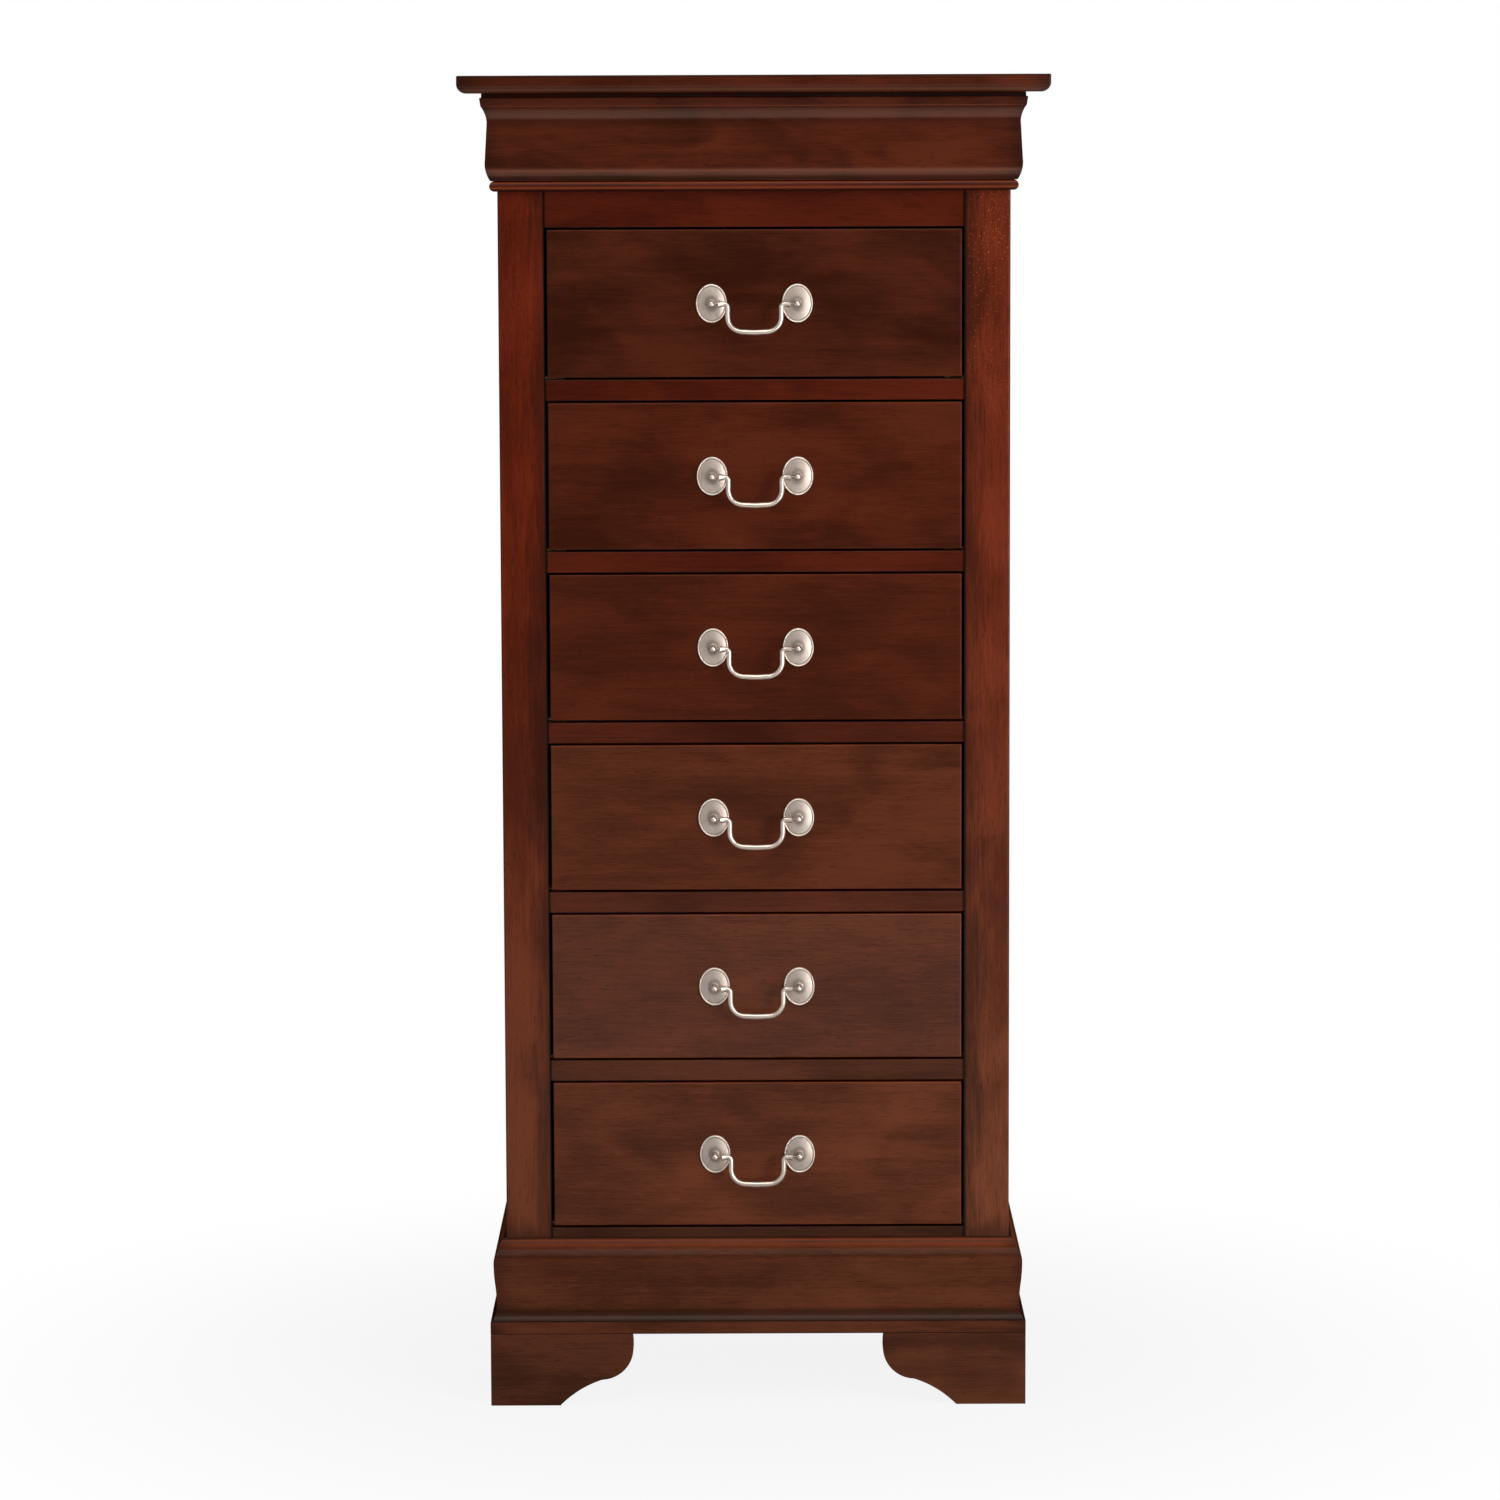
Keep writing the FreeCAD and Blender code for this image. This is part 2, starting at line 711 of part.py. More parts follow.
def feet():
    diagonal = Vector(1, -1, 0)
    front_bracket = bracket("front_foot_face", mitre=True)
    front_foot = group(
        "front_left_foot",
        [front_bracket, mirrored("front_foot_side", front_bracket, diagonal), glue_block("front_foot_block")],
    )
    foot_side = case_side + size.base_fillet_projection
    place(front_foot, -foot_side, case_front - size.base_fillet_projection, 0)
    keep(front_foot)
    keep(mirrored("front_right_foot", front_foot))

    side_bracket = mirrored("rear_foot_side", bracket("rear_foot_face", mitre=False), diagonal)
    corner_pieces = [side_bracket, rear_board("rear_foot_board"), glue_block("rear_foot_block")]
    square_foot = group("rear_foot_pieces", corner_pieces)
    rear_foot = mirrored("rear_left_foot", square_foot, Vector(0, 1, 0))
    place(square_foot, -foot_side, -case_back, 0)
    keep(rear_foot)
    keep(mirrored("rear_right_foot", rear_foot))


# Drawer boxes
def drawer_front(drawer, foot):
    label = f"drawer_{drawer}_front"
    body = new_body(label)
    corners = [(0, 0), (front_width, 0), (front_width, front_height), (0, front_height)]
    board = pad(body, outline(body, f"{label}_face", "XZ_Plane", corners), size.front_thickness, reverse=True)
    ease(body, board, "Fillet", "Radius", size.front_arris_radius, lambda edge: near(edge.CenterOfMass.y, 0))

    back = size.front_thickness
    depth = back - size.key_depth - size.key_clearance
    neck = size.key_neck / 2 + size.key_clearance
    tip = size.key_tip / 2 + size.key_clearance
    key_centre = box_side - size.side_thickness / 2
    for name, centre in (("left", front_width / 2 - key_centre), ("right", front_width / 2 + key_centre)):
        slot = [(centre - tip, depth), (centre + tip, depth), (centre + neck, back), (centre - neck, back)]
        sketch = outline(body, f"{label}_{name}_slot", "XY_Plane", slot)
        pocket(body, sketch, size.side_height + size.key_clearance, reverse=True)

    groove_low = size.groove_height - size.groove_clearance
    groove_width = size.drawer_bottom_thickness + 2 * size.groove_clearance
    groove_end = box_inside + size.groove_depth
    start = front_width / 2 - groove_end
    end = front_width / 2 + groove_end
    floor = back - size.groove_depth
    channel = [(start, floor), (end, floor), (end, back), (start, back)]
    sketch = outline(body, f"{label}_groove", "XY_Plane", channel, offset=groove_low)
    pocket(body, sketch, groove_width, reverse=True)

    bore = size.shank_diameter + 2 * size.shank_clearance
    for name, side in (("left", -1), ("right", 1)):
        centre = (front_width / 2 + side * size.pull_spacing / 2, front_height / 2)
        pocket(body, circle(body, f"{label}_{name}_hole", "XZ_Plane", centre, bore))
    place(body, -front_width / 2, case_front, foot)
    keep(body)


def drawer_sides(drawer, foot):
    label = f"drawer_{drawer}_side"
    body = new_body(label)
    thick = size.side_thickness
    shoulder = size.key_depth
    end = shoulder + box_back - front_back
    middle = thick / 2
    plan = [
        (middle - size.key_tip / 2, 0),
        (middle + size.key_tip / 2, 0),
        (middle + size.key_neck / 2, shoulder),
        (thick, shoulder),
        (thick, end),
        (0, end),
        (0, shoulder),
        (middle - size.key_neck / 2, shoulder),
    ]
    pad(body, outline(body, f"{label}_plan", "XY_Plane", plan), size.side_height)

    low = size.groove_height - size.groove_clearance
    high = size.groove_height + size.drawer_bottom_thickness + size.groove_clearance
    channel = [(0, low), (end, low), (end, high), (0, high)]
    pocket(body, outline(body, f"{label}_groove", "YZ_Plane", channel), size.groove_depth, reverse=True)

    housing_back = end - size.drawer_back_inset
    housing_front = housing_back - size.drawer_back_thickness - 2 * size.housing_clearance
    housing = [
        (0, housing_front),
        (size.housing_depth, housing_front),
        (size.housing_depth, housing_back),
        (0, housing_back),
    ]
    pocket(body, outline(body, f"{label}_housing", "XY_Plane", housing), reverse=True)
    place(body, box_inside, front_back - size.key_depth, foot)
    keep(group(f"drawer_{drawer}_sides", [body, mirrored(f"{label}_left", body)]))


def drawer_back_and_bottom(drawer, foot):
    bottom_low = foot + size.groove_height
    bottom_high = bottom_low + size.drawer_bottom_thickness
    back_side = box_inside + size.housing_depth - size.housing_clearance
    back_rear = box_back - size.drawer_back_inset - size.housing_clearance
    keep(
        box(
            f"drawer_{drawer}_back",
            (-back_side, back_rear - size.drawer_back_thickness, bottom_high),
            (back_side, back_rear, foot + size.side_height),
        )
    )
    bottom_side = box_inside + size.groove_depth - size.groove_clearance
    bottom_front = front_back - size.groove_depth + size.groove_clearance
    keep(
        box(
            f"drawer_{drawer}_bottom",
            (-bottom_side, bottom_front, bottom_low),
            (bottom_side, box_back, bottom_high),
        )
    )


# Bail pulls
FACING_FRONT = Rotation(Vector(1, 0, 0), 90)


def rosette(label):
    """Oval plate with a raised rim, in x and y, its back at z = 0."""
    body = new_body(label)
    edge_oval = oval(body, f"{label}_edge", size.rosette_width, size.rosette_height)
    plate = pad(body, edge_oval, size.rosette_thickness)
    face = size.rosette_thickness.number
    ease(body, plate, "Chamfer", "Size", size.rosette_chamfer, lambda edge: near(edge.CenterOfMass.z, face))
    field_width = size.rosette_width - 2 * size.rosette_rim_width
    field_height = size.rosette_height - 2 * size.rosette_rim_width
    field = oval(body, f"{label}_field", field_width, field_height, offset=size.rosette_thickness)
    pocket(body, field, size.rosette_dish_depth)
    hole = size.shank_diameter + 2 * size.shank_clearance
    pocket(body, circle(body, f"{label}_hole", "XY_Plane", (0, 0), hole), reverse=True)
    return body


def pull_post(label, face):
    """Turned post along z: shank, collar, neck and ball, with the drawer face at the height face."""
    body = new_body(label)
    shank = size.shank_diameter / 2
    neck = size.neck_diameter / 2
    ball = size.ball_diameter / 2
    seat = face + size.rosette_thickness - size.rosette_dish_depth
    collar_top = seat + size.collar_height
    centre = face + size.pull_standoff
    neck_top = centre - (ball * ball - neck * neck).root()
    points = [
        (0, 0),
        (shank, 0),
        (shank, seat),
        (size.collar_diameter / 2, seat),
        (size.collar_diameter / 2, collar_top),
        (neck, collar_top),
        (neck, neck_top),
        (0, centre + ball),
    ]
    turned = body.newObject("PartDesign::Revolution", f"{label}_turning")
    profile = outline(body, f"{label}_profile", "XZ_Plane", points, bulge={6: ball})
    turned.Profile = profile
    turned.ReferenceAxis = (profile, ["V_Axis"])
    bore = size.pin_diameter + 2 * size.pin_clearance
    pocket(body, circle(body, f"{label}_bore", "YZ_Plane", (0, centre), bore), both_ways=True)
    return body


def nut(label):
    block = doc.addObject("Part::Prism", f"{label}_block")
    block.Polygon = 6
    bind(block, "Circumradius", size.nut_width / 2)
    bind(block, "Height", size.nut_height)
    hole = doc.addObject("Part::Cylinder", f"{label}_hole")
    bind(hole, "Radius", size.shank_diameter / 2 + size.shank_clearance)
    bind(hole, "Height", size.nut_height)
    holed = doc.addObject("Part::Cut", label)
    holed.Base = block
    holed.Tool = hole
    return holed


def pull_mounts(drawer, height):
    label = f"drawer_{drawer}_pull"
    x = size.pull_spacing / 2
    nut_face = front_back + size.nut_height
    shank_end = nut_face + size.shank_spare
    plate = rosette(f"{label}_rosette")
    place(plate, x, case_front, height, FACING_FRONT)
    post = pull_post(f"{label}_post", shank_end - case_front)
    place(post, x, shank_end, height, FACING_FRONT)
    fixing = nut(f"{label}_nut")
    place(fixing, x, nut_face, height, FACING_FRONT)
    pieces = [plate, post, fixing]
    twins = [mirrored(f"{piece.Label}_left", piece) for piece in pieces]
    keep(group(f"{label}_mounts", pieces + twins))


def bail(drawer, height):
    """Wire handle in the x-z plane, hanging from its pins on the x axis; half is made and mirrored."""
    label = f"drawer_{drawer}_bail"
    body = new_body(label)
    ball_face = size.pull_spacing / 2 - size.ball_diameter / 2
    pin_end = size.pull_spacing / 2 + size.ball_diameter / 2 + size.pin_spare
    flare_end = ball_face - size.bail_gap
    shoulder = flare_end - size.bail_flare_length
    arm = shoulder - size.bail_shoulder_radius
    grip = arm - size.bail_elbow_radius
    centre_line = outline(
        body,
        f"{label}_line",
        "XZ_Plane",
        [
            (0, -size.bail_drop),
            (grip, -size.bail_drop),
            (arm, size.bail_elbow_radius - size.bail_drop),
            (arm, -size.bail_shoulder_radius),
            (shoulder, 0),
        ],
        bulge={1: size.bail_elbow_radius},
        hollow={3: size.bail_shoulder_radius},
        closed=False,
    )
    section = circle(body, f"{label}_section", "YZ_Plane", (0, -size.bail_drop), size.bail_wire_diameter)
    wire = body.newObject("PartDesign::AdditivePipe", f"{label}_wire")
    wire.Profile = section
    wire.Spine = (centre_line, ["Edge1", "Edge2", "Edge3", "Edge4"])
    end_profile = outline(
        body,
        f"{label}_end",
        "XZ_Plane",
        [
            (shoulder, 0),
            (pin_end, 0),
            (pin_end, size.pin_diameter / 2),
            (flare_end, size.pin_diameter / 2),
            (flare_end, size.bail_flare_diameter / 2),
            (shoulder, size.bail_wire_diameter / 2),
        ],
    )
    end = body.newObject("PartDesign::Revolution", f"{label}_flare")
    end.Profile = end_profile
    end.ReferenceAxis = (end_profile, ["H_Axis"])
    doc.recompute()
    other_half = body.newObject("PartDesign::Mirrored", f"{label}_half")
    other_half.Originals = [wire, end]
    other_half.MirrorPlane = (origin_plane(body, "YZ_Plane"), [""])
    body.Tip = other_half
    place(body, 0, case_front - size.pull_standoff, height)
    keep(body)


def drawers():
    for drawer in range(1, DRAWER_COUNT + 1):
        foot = floor_of(drawer) + size.drawer_gap
        middle = foot + front_height / 2
        drawer_front(drawer, foot)
        drawer_sides(drawer, foot)
        drawer_back_and_bottom(drawer, foot)
        pull_mounts(drawer, middle)
        bail(drawer, middle)


def write_nodes():
    """Stops on any object that failed, then writes each node's solids to a file of its own."""
    doc.recompute()
    failed = [thing.Label for thing in doc.Objects if {"Invalid", "Error"} & set(thing.State)]
    failed += [node.Label for node in nodes if node.Shape.isNull() or not node.Shape.isValid()]
    if failed:
        raise RuntimeError("failed: " + ", ".join(failed))
    os.makedirs("parts", exist_ok=True)
    for node in nodes:
        node.Shape.exportStep(f"parts/{node.Label}.step")


top_board()
crown()
bead()
posts()
side_panels()
rails()
back_and_bottom()
base()
feet()
runners()
drawers()
write_nodes()
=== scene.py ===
import math

import bmesh
import bpy
import numpy as np
from mathutils import Matrix, Vector


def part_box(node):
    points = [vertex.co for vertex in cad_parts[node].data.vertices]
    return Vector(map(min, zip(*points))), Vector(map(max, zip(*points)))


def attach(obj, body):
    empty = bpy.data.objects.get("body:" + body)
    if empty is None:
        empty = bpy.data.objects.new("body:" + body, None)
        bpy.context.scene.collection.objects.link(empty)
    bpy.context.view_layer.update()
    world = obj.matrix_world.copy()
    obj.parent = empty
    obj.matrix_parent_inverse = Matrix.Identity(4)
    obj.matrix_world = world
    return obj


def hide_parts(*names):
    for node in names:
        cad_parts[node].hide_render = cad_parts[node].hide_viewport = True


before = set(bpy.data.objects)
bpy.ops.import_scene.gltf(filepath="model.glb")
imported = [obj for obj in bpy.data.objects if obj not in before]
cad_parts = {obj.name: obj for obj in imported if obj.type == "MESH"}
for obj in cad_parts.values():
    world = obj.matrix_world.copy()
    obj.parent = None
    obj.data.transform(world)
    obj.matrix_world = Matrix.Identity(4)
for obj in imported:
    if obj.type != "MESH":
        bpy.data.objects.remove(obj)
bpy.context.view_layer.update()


# Side panels: upright boards of stained cherry under satin lacquer, grain upright. Each is glued to the back
# of a front post and rabbeted at the rear for the back panel.
class Shade:
    """A shader socket in a sum: + - * on it add Math nodes, and node() adds any other kind of node."""

    def __init__(self, socket):
        self.socket = socket
        self.tree = socket.id_data

    def node(self, kind, settings, inputs, output=0):
        """Adds a node: its settings first, then the values or links of its sockets, by name or place."""
        made = self.tree.nodes.new(f"ShaderNode{kind}")
        for name, value in settings.items():
            setattr(made, name, value)
        for place, value in inputs.items():
            self.feed(made.inputs[place], value)
        return Shade(made.outputs[output])

    def feed(self, socket, value):
        """Links a Shade to a socket, or sets any other value on it."""
        if isinstance(value, Shade):
            self.tree.links.new(value.socket, socket)
        else:
            socket.default_value = value

    def math(self, operation, *values):
        return self.node("Math", {"operation": operation}, dict(enumerate(values)))

    def __add__(self, other):
        return self.math("ADD", self, other)

    def __sub__(self, other):
        return self.math("SUBTRACT", self, other)

    def __mul__(self, other):
        return self.math("MULTIPLY", self, other)

    def __rsub__(self, other):
        return self.math("SUBTRACT", other, self)

    __radd__ = __add__
    __rmul__ = __mul__

    def fade(self, low, high, start=0.0, end=1.0):
        """Eases from start to end while the value goes from low to high, and stays there beyond."""
        reach = {"Value": self, "From Min": low, "From Max": high, "To Min": start, "To Max": end}
        return self.node("MapRange", {"interpolation_type": "SMOOTHSTEP"}, reach)

    def blend(self, first, second):
        """Colour that goes from first to second as this value goes from 0 to 1."""
        return self.node("Mix", {"data_type": "RGBA"}, {0: self, 6: first, 7: second}, output=2)


def finish(name, **constants):
    """New material whose Principled shader has these constant sockets, with its shader and the place of a
    point on the piece, in metres."""
    material = bpy.data.materials.new(name)
    material.use_nodes = True
    shader = material.node_tree.nodes["Principled BSDF"]
    for socket, value in constants.items():
        shader.inputs[socket.replace("_", " ")].default_value = value
    coordinates = material.node_tree.nodes.new("ShaderNodeTexCoord")
    return material, shader, Shade(coordinates.outputs["Object"])


def along_grain(place, axis, length, width, detail, start=0.0, bend=0.0, tilt=0.0):
    """Noise whose blotches are length long on the grain's axis, or on a line tilted from it, and width wide
    across it. Start picks the stretch of noise."""
    sizes = [width] * 3
    sizes[axis] = length
    offset = [-start * size for size in sizes]
    spread = {"Vector": place, "Location": offset, "Rotation": (tilt, tilt, 0.0), "Scale": sizes}
    mapped = place.node("Mapping", {"vector_type": "TEXTURE"}, spread)
    return place.node("TexNoise", {}, {"Vector": mapped, "Scale": 1.0, "Detail": detail, "Distortion": bend})


def attribute(place, name):
    """Value that the mesh of the piece carries under this name, or 0 where it carries none."""
    return place.node("Attribute", {"attribute_name": name}, {}, output="Fac")


X, Y, Z = range(3)
MM = 0.001
RED_DEEP = np.array([0.040, 0.0046, 0.0014])
RED_WARM = np.array([0.090, 0.0104, 0.0032])
BROWN_DEEP = np.array([0.040, 0.0116, 0.0050])
BROWN_WARM = np.array([0.090, 0.0261, 0.0112])
# Colours mixed into the wood: a dark one for filled pores, glazing and painted shade; a warm one for rub and
# painted highlight; a pale one for wear with a painted highlight; and a yellowish one for old lacquer and its
# painted reflection.
GLAZE_AND_SHADE = np.array([0.012, 0.0045, 0.0030])
RUBBED_AND_HIGHLIT = np.array([0.160, 0.0320, 0.0110])
BARE_AND_HIGHLIT = np.array([0.26, 0.190, 0.140])
YELLOWED_SHEEN_TINT = np.array([0.095, 0.045, 0.016])
RED_ABOVE, BROWN_BELOW = 0.95, 0.10
FLECKS_FROM, FLECKS_FULL = 0.85, 1.15


def opaque(colour):
    return (*colour, 1.0)


def cherry(
    name, axis, start, tone=1.0, gloss=0.13, brown=(0.6, 1.0), figure=1.0, flecks=0.0,
    rim=(), joints=(), reach=2.2, ends=(),
):
    """Stain and lacquer on wood whose grain runs along axis. A cloud of stain, a wide drift and bands, all
    stretched along the grain, add up to blotches whose strength is the figure. With streaks and fibres they
    give the share that mixes the deep and the warm colour, and pores are the peaks of the finest noise. The
    two shares of brown are those at the top and the foot of the chest, and flecks show near the top.
    The recess attribute darkens hollows with glazing and painted shade, warms and lightens rounds with rub and
    painted highlight, and makes the sharpest edges pale as bare wood with a painted highlight on them; the
    sheen attribute adds lacquer with a yellowish tint, partly a painted reflection. Limits given as (axis,
    low, high) are lightened by rub and painted highlight where they are a rim, dark for a reach in millimetres
    where they meet a joint or, as painted shade, a drawer's gap, and clouded darker for a few centimetres
    where they are ends."""
    material, shader, place = finish(f"cherry_{name}", Specular_IOR_Level=gloss, Coat_Roughness=0.24)
    sides = place.node("SeparateXYZ", {}, {0: place}).socket.node.outputs
    height = Shade(sides[Z])

    def noise(length, width, detail, shift=0.0, **slant):
        return along_grain(place, axis, length, width, detail, start + shift, **slant)

    def depth_inside(limits):
        """Distance to the nearest of the limits: half their span less the distance from their middle."""
        depths = []
        for side, low, high in limits:
            from_middle = Shade(sides[side]) - (low + high) / 2
            depths.append((high - low) / 2 - from_middle.math("ABSOLUTE", from_middle))
        return depths[0] if len(depths) == 1 else place.math("MINIMUM", *depths)

    cloud = noise(length=0.11, width=0.050, detail=2.0, shift=11.0, bend=0.6, tilt=0.12)
    drift = noise(length=0.26, width=0.13, detail=1.0, shift=23.0, bend=0.6)
    bands = noise(length=0.30, width=0.016, detail=3.0, bend=0.6)
    streaks = noise(length=0.040, width=0.0022, detail=2.0, shift=7.0)
    fibres = noise(length=0.012, width=0.0008, detail=1.0, shift=3.0)
    pores = noise(length=0.009, width=0.0006, detail=0.0, shift=5.0).fade(0.68, 0.80)
    blotches = (cloud - 0.5) * 1.2 + (drift - 0.5) + (bands - 0.5) * 0.5
    share = 0.5 + blotches * figure + (streaks - 0.5) * 0.6 + (fibres - 0.5) * 0.6
    browner = height.fade(RED_ABOVE, BROWN_BELOW, *brown)
    deep = browner.blend(opaque(RED_DEEP * tone), opaque(BROWN_DEEP * tone))
    warm = browner.blend(opaque(RED_WARM * tone), opaque(BROWN_WARM * tone))
    colour = share.fade(0.0, 1.0).blend(deep, warm)
    colour = (pores * 0.5).blend(colour, opaque(GLAZE_AND_SHADE))
    # Where recess is above zero the colour darkens as glazing and painted shade; below zero it lightens as rub
    # and painted highlight.
    recess = attribute(place, "recess")
    colour = recess.fade(0.0, 1.0, 0.0, 0.9).blend(colour, opaque(GLAZE_AND_SHADE))
    colour = recess.fade(0.0, -1.0, 0.0, 0.9).blend(colour, opaque(RUBBED_AND_HIGHLIT * tone))
    # The sheen also warms the colour: yellowed lacquer, and partly a painted tint of its reflection.
    sheen = attribute(place, "sheen")
    colour = (sheen * 0.35).blend(colour, opaque(YELLOWED_SHEEN_TINT))
    # The sharpest edges go pale as wear and as a painted highlight.
    worn_and_highlit = recess.fade(-1.1, -1.5, 0.0, 0.6) * streaks.fade(0.52, 0.64)
    colour = worn_and_highlit.blend(colour, opaque(BARE_AND_HIGHLIT))
    if flecks:
        spots = noise(length=0.0022, width=0.0014, detail=0.0, shift=17.0).fade(0.70, 0.78)
        patch = noise(length=0.20, width=0.03, detail=1.0, shift=19.0).fade(0.30, 0.55)
        strewn = spots * patch * height.fade(FLECKS_FROM, FLECKS_FULL) * flecks
        colour = strewn.blend(colour, opaque(RUBBED_AND_HIGHLIT * 2.5))
    # Rims lighten by rub and as a painted highlight.
    if rim:
        rubbed_and_lit = depth_inside(rim).fade(0.2 * MM, 1.4 * MM, 0.55, 0.0)
        colour = (rubbed_and_lit * streaks.fade(0.3, 0.6, 0.5, 1.0)).blend(colour, opaque(RUBBED_AND_HIGHLIT * tone))
    # Ends cloud darker; on the posts beside the drawers this is painted shade.
    if ends:
        clouded = depth_inside(ends) + (cloud - 0.5) * 0.03 + (streaks - 0.5) * 0.02
        colour = clouded.fade(0.0, 26 * MM, 0.55, 0.0).blend(colour, opaque(GLAZE_AND_SHADE * 1.3))
    # Dark at each joint, and beside a drawer's gap as painted shade.
    if joints:
        dark = depth_inside(joints).fade(0.3 * MM, reach * MM, 0.95, 0.0)
        colour = dark.blend(colour, opaque(GLAZE_AND_SHADE * 0.5))
    place.feed(shader.inputs["Base Color"], colour)
    place.feed(shader.inputs["Roughness"], 0.24 + (cloud - 0.5) * 0.10)
    place.feed(shader.inputs["Coat Weight"], sheen)
    relief = {"Strength": 0.15, "Distance": 0.15 * MM, "Height": fibres * 0.5 + streaks * 0.5}
    place.feed(shader.inputs["Normal"], place.node("Bump", {}, relief))
    return material


def dress(node, material):
    """Puts a finish on a piece that keeps the solid it came with."""
    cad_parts[node].data.materials.clear()
    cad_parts[node].data.materials.append(material)


for node, start in (("left_side_panel", 2.3), ("right_side_panel", 5.1)):
    dress(node, cherry(node, Z, start, tone=1.48, gloss=0.10, brown=(0.35, 0.95)))


# Front posts: upright stiles of the face frame, redder and lighter than the rest, the right one more so as
# painted light from the right. They are darker towards the base and, as painted shade, beside the drawers.
# They are glued to the edges of the side panels and stand on the feet.
BEYOND = 3.0  # so far off that only the other one of two limits counts
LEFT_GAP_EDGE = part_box("left_front_post")[1][X]
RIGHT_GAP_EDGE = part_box("right_front_post")[0][X]
BASE_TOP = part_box("base_front")[1][Z]

for node, start, tone, brown, flecks, gap_edge, reach in (
    ("left_front_post", 6.2, 1.56, (0.05, 0.92), 0.15, (X, LEFT_GAP_EDGE - BEYOND, LEFT_GAP_EDGE), 1.8),
    ("right_front_post", 2.9, 1.82, (0.25, 1.0), 1.0, (X, RIGHT_GAP_EDGE, RIGHT_GAP_EDGE + BEYOND), 3.6),
):
    # Darker towards the base, and as painted shade beside the drawers.
    shaded_ends = [gap_edge, (Z, BASE_TOP, BASE_TOP + BEYOND)]
    stain = cherry(
        node, Z, start, tone, gloss=0.10, brown=brown, flecks=flecks, joints=[gap_edge], reach=reach, ends=shaded_ends
    )
    dress(node, stain)


# Rails: boards across the front between the posts, dowelled to them. The widest ones carry the crown and the
# base, and a narrow one lies between each two drawers.
def edges(node, *axes):
    """Limits of a piece along each of these axes."""
    low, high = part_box(node)
    return [(axis, low[axis], high[axis]) for axis in axes]


for node, start, tone in (("top_rail", 3.9, 0.88), ("divider_rails", 6.4, 0.95), ("bottom_rail", 9.6, 0.62)):
    dress(node, cherry(node, X, start, tone, gloss=0.12, brown=(0.1, 1.1), joints=edges(node, X)))


# Back, bottom and rear rails: thin sheet let into the rabbets of the sides, a board closing the underside,
# and two stiffening rails. None of them is stained.
def bare_wood(name, axis, start, colours, rough):
    """Unstained wood: bands and fibres stretched along the grain mix a deep and a warm colour."""
    material, shader, place = finish(f"bare_{name}", Specular_IOR_Level=0.25)
    bands = along_grain(place, axis, length=0.7, width=0.022, detail=3.0, start=start, bend=0.8)
    fibres = along_grain(place, axis, length=0.04, width=0.0011, detail=2.0, start=start + 4.0)
    share = 0.5 + (bands - 0.5) * 1.6 + (fibres - 0.5) * 0.8
    place.feed(shader.inputs["Base Color"], share.fade(0.0, 1.0).blend(*colours))
    place.feed(shader.inputs["Roughness"], rough + (bands - 0.5) * 0.2)
    relief = {"Strength": 0.3, "Distance": 0.3 * MM, "Height": fibres}
    place.feed(shader.inputs["Normal"], place.node("Bump", {}, relief))
    return material


SHEET = (opaque((0.30, 0.185, 0.098)), opaque((0.47, 0.315, 0.180)))
HARDWOOD = (opaque((0.27, 0.150, 0.072)), opaque((0.46, 0.290, 0.150)))
dress("back_panel", bare_wood("back", Z, 2.9, SHEET, rough=0.6))
dress("bottom_panel", bare_wood("underside", X, 4.4, SHEET, rough=0.6))
dress("rear_rails", bare_wood("rear_rails", X, 7.7, HARDWOOD, rough=0.55))


# Runners and stops: hardwood strips screwed to the inside of the side panels, which carry and guide each
# drawer, and blocks that stop it flush with the posts.
dress("drawer_runners", bare_wood("runners", Y, 1.2, HARDWOOD, rough=0.5))
dress("drawer_stops", bare_wood("stops", X, 3.3, HARDWOOD, rough=0.5))


# Crown and bead: two mouldings run round the front and sides under the top, mitred at the corners and glued
# to the case. The crown has a neck, a flat nose, a cove and a swelling frieze; the bead is a half round.
CASE_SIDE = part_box("right_side_panel")[1][X]
CASE_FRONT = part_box("right_front_post")[0][Y]
CASE_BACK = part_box("right_side_panel")[1][Y]
ARC_POINTS = 24
CREASE = math.radians(35)
SAME_PLACE = 1e-7


def arc(start, end, radius):
    """Points of an arc from start up to end, which it leaves out, bulging to the right of that way for a
    radius above zero and to the left below. The centre lies off the middle of the chord by the root of what
    is left of the radius squared when the square of half the chord is taken away."""
    chord = end - start
    half = np.linalg.norm(chord) / 2
    left = np.array([-chord[1], chord[0]]) / (2 * half)
    centre = (start + end) / 2 + left * np.sign(radius) * np.sqrt(max(radius**2 - half**2, 0.0))
    first = np.arctan2(*(start - centre)[::-1])
    turn = 2 * np.arcsin(min(half / abs(radius), 1.0)) * np.sign(radius)
    angles = first + turn * np.linspace(0, 1, ARC_POINTS, endpoint=False)
    return centre + abs(radius) * np.column_stack([np.cos(angles), np.sin(angles)])


def outline(points, bends):
    """Closed outline through points, anticlockwise; bends gives the radius of each side that is an arc."""
    corners = np.array(points, float)
    following = np.roll(corners, -1, axis=0)
    sides = [
        arc(first, last, bends[side]) if side in bends else first[None]
        for side, (first, last) in enumerate(zip(corners, following))
    ]
    return np.vstack(sides)


def soften(shape, step, reach):
    """Walks a closed outline in equal steps and averages each point with its neighbours under a bell curve,
    which gives every sharp arris a small round and leaves long curves as they are."""
    loop = np.vstack([shape, shape[:1]])
    walked = np.concatenate([[0], np.cumsum(np.linalg.norm(np.diff(loop, axis=0), axis=1))])
    count = int(round(walked[-1] / step))
    stops = np.arange(count) * walked[-1] / count
    even = np.column_stack([np.interp(stops, walked, loop[:, axis]) for axis in (0, 1)])
    lag = np.minimum(np.arange(count), count - np.arange(count)) * step
    bell = np.exp(-0.5 * (lag / reach) ** 2)
    spectrum = np.fft.fft(even, axis=0) * np.fft.fft(bell / bell.sum())[:, None]
    return np.fft.ifft(spectrum, axis=0).real


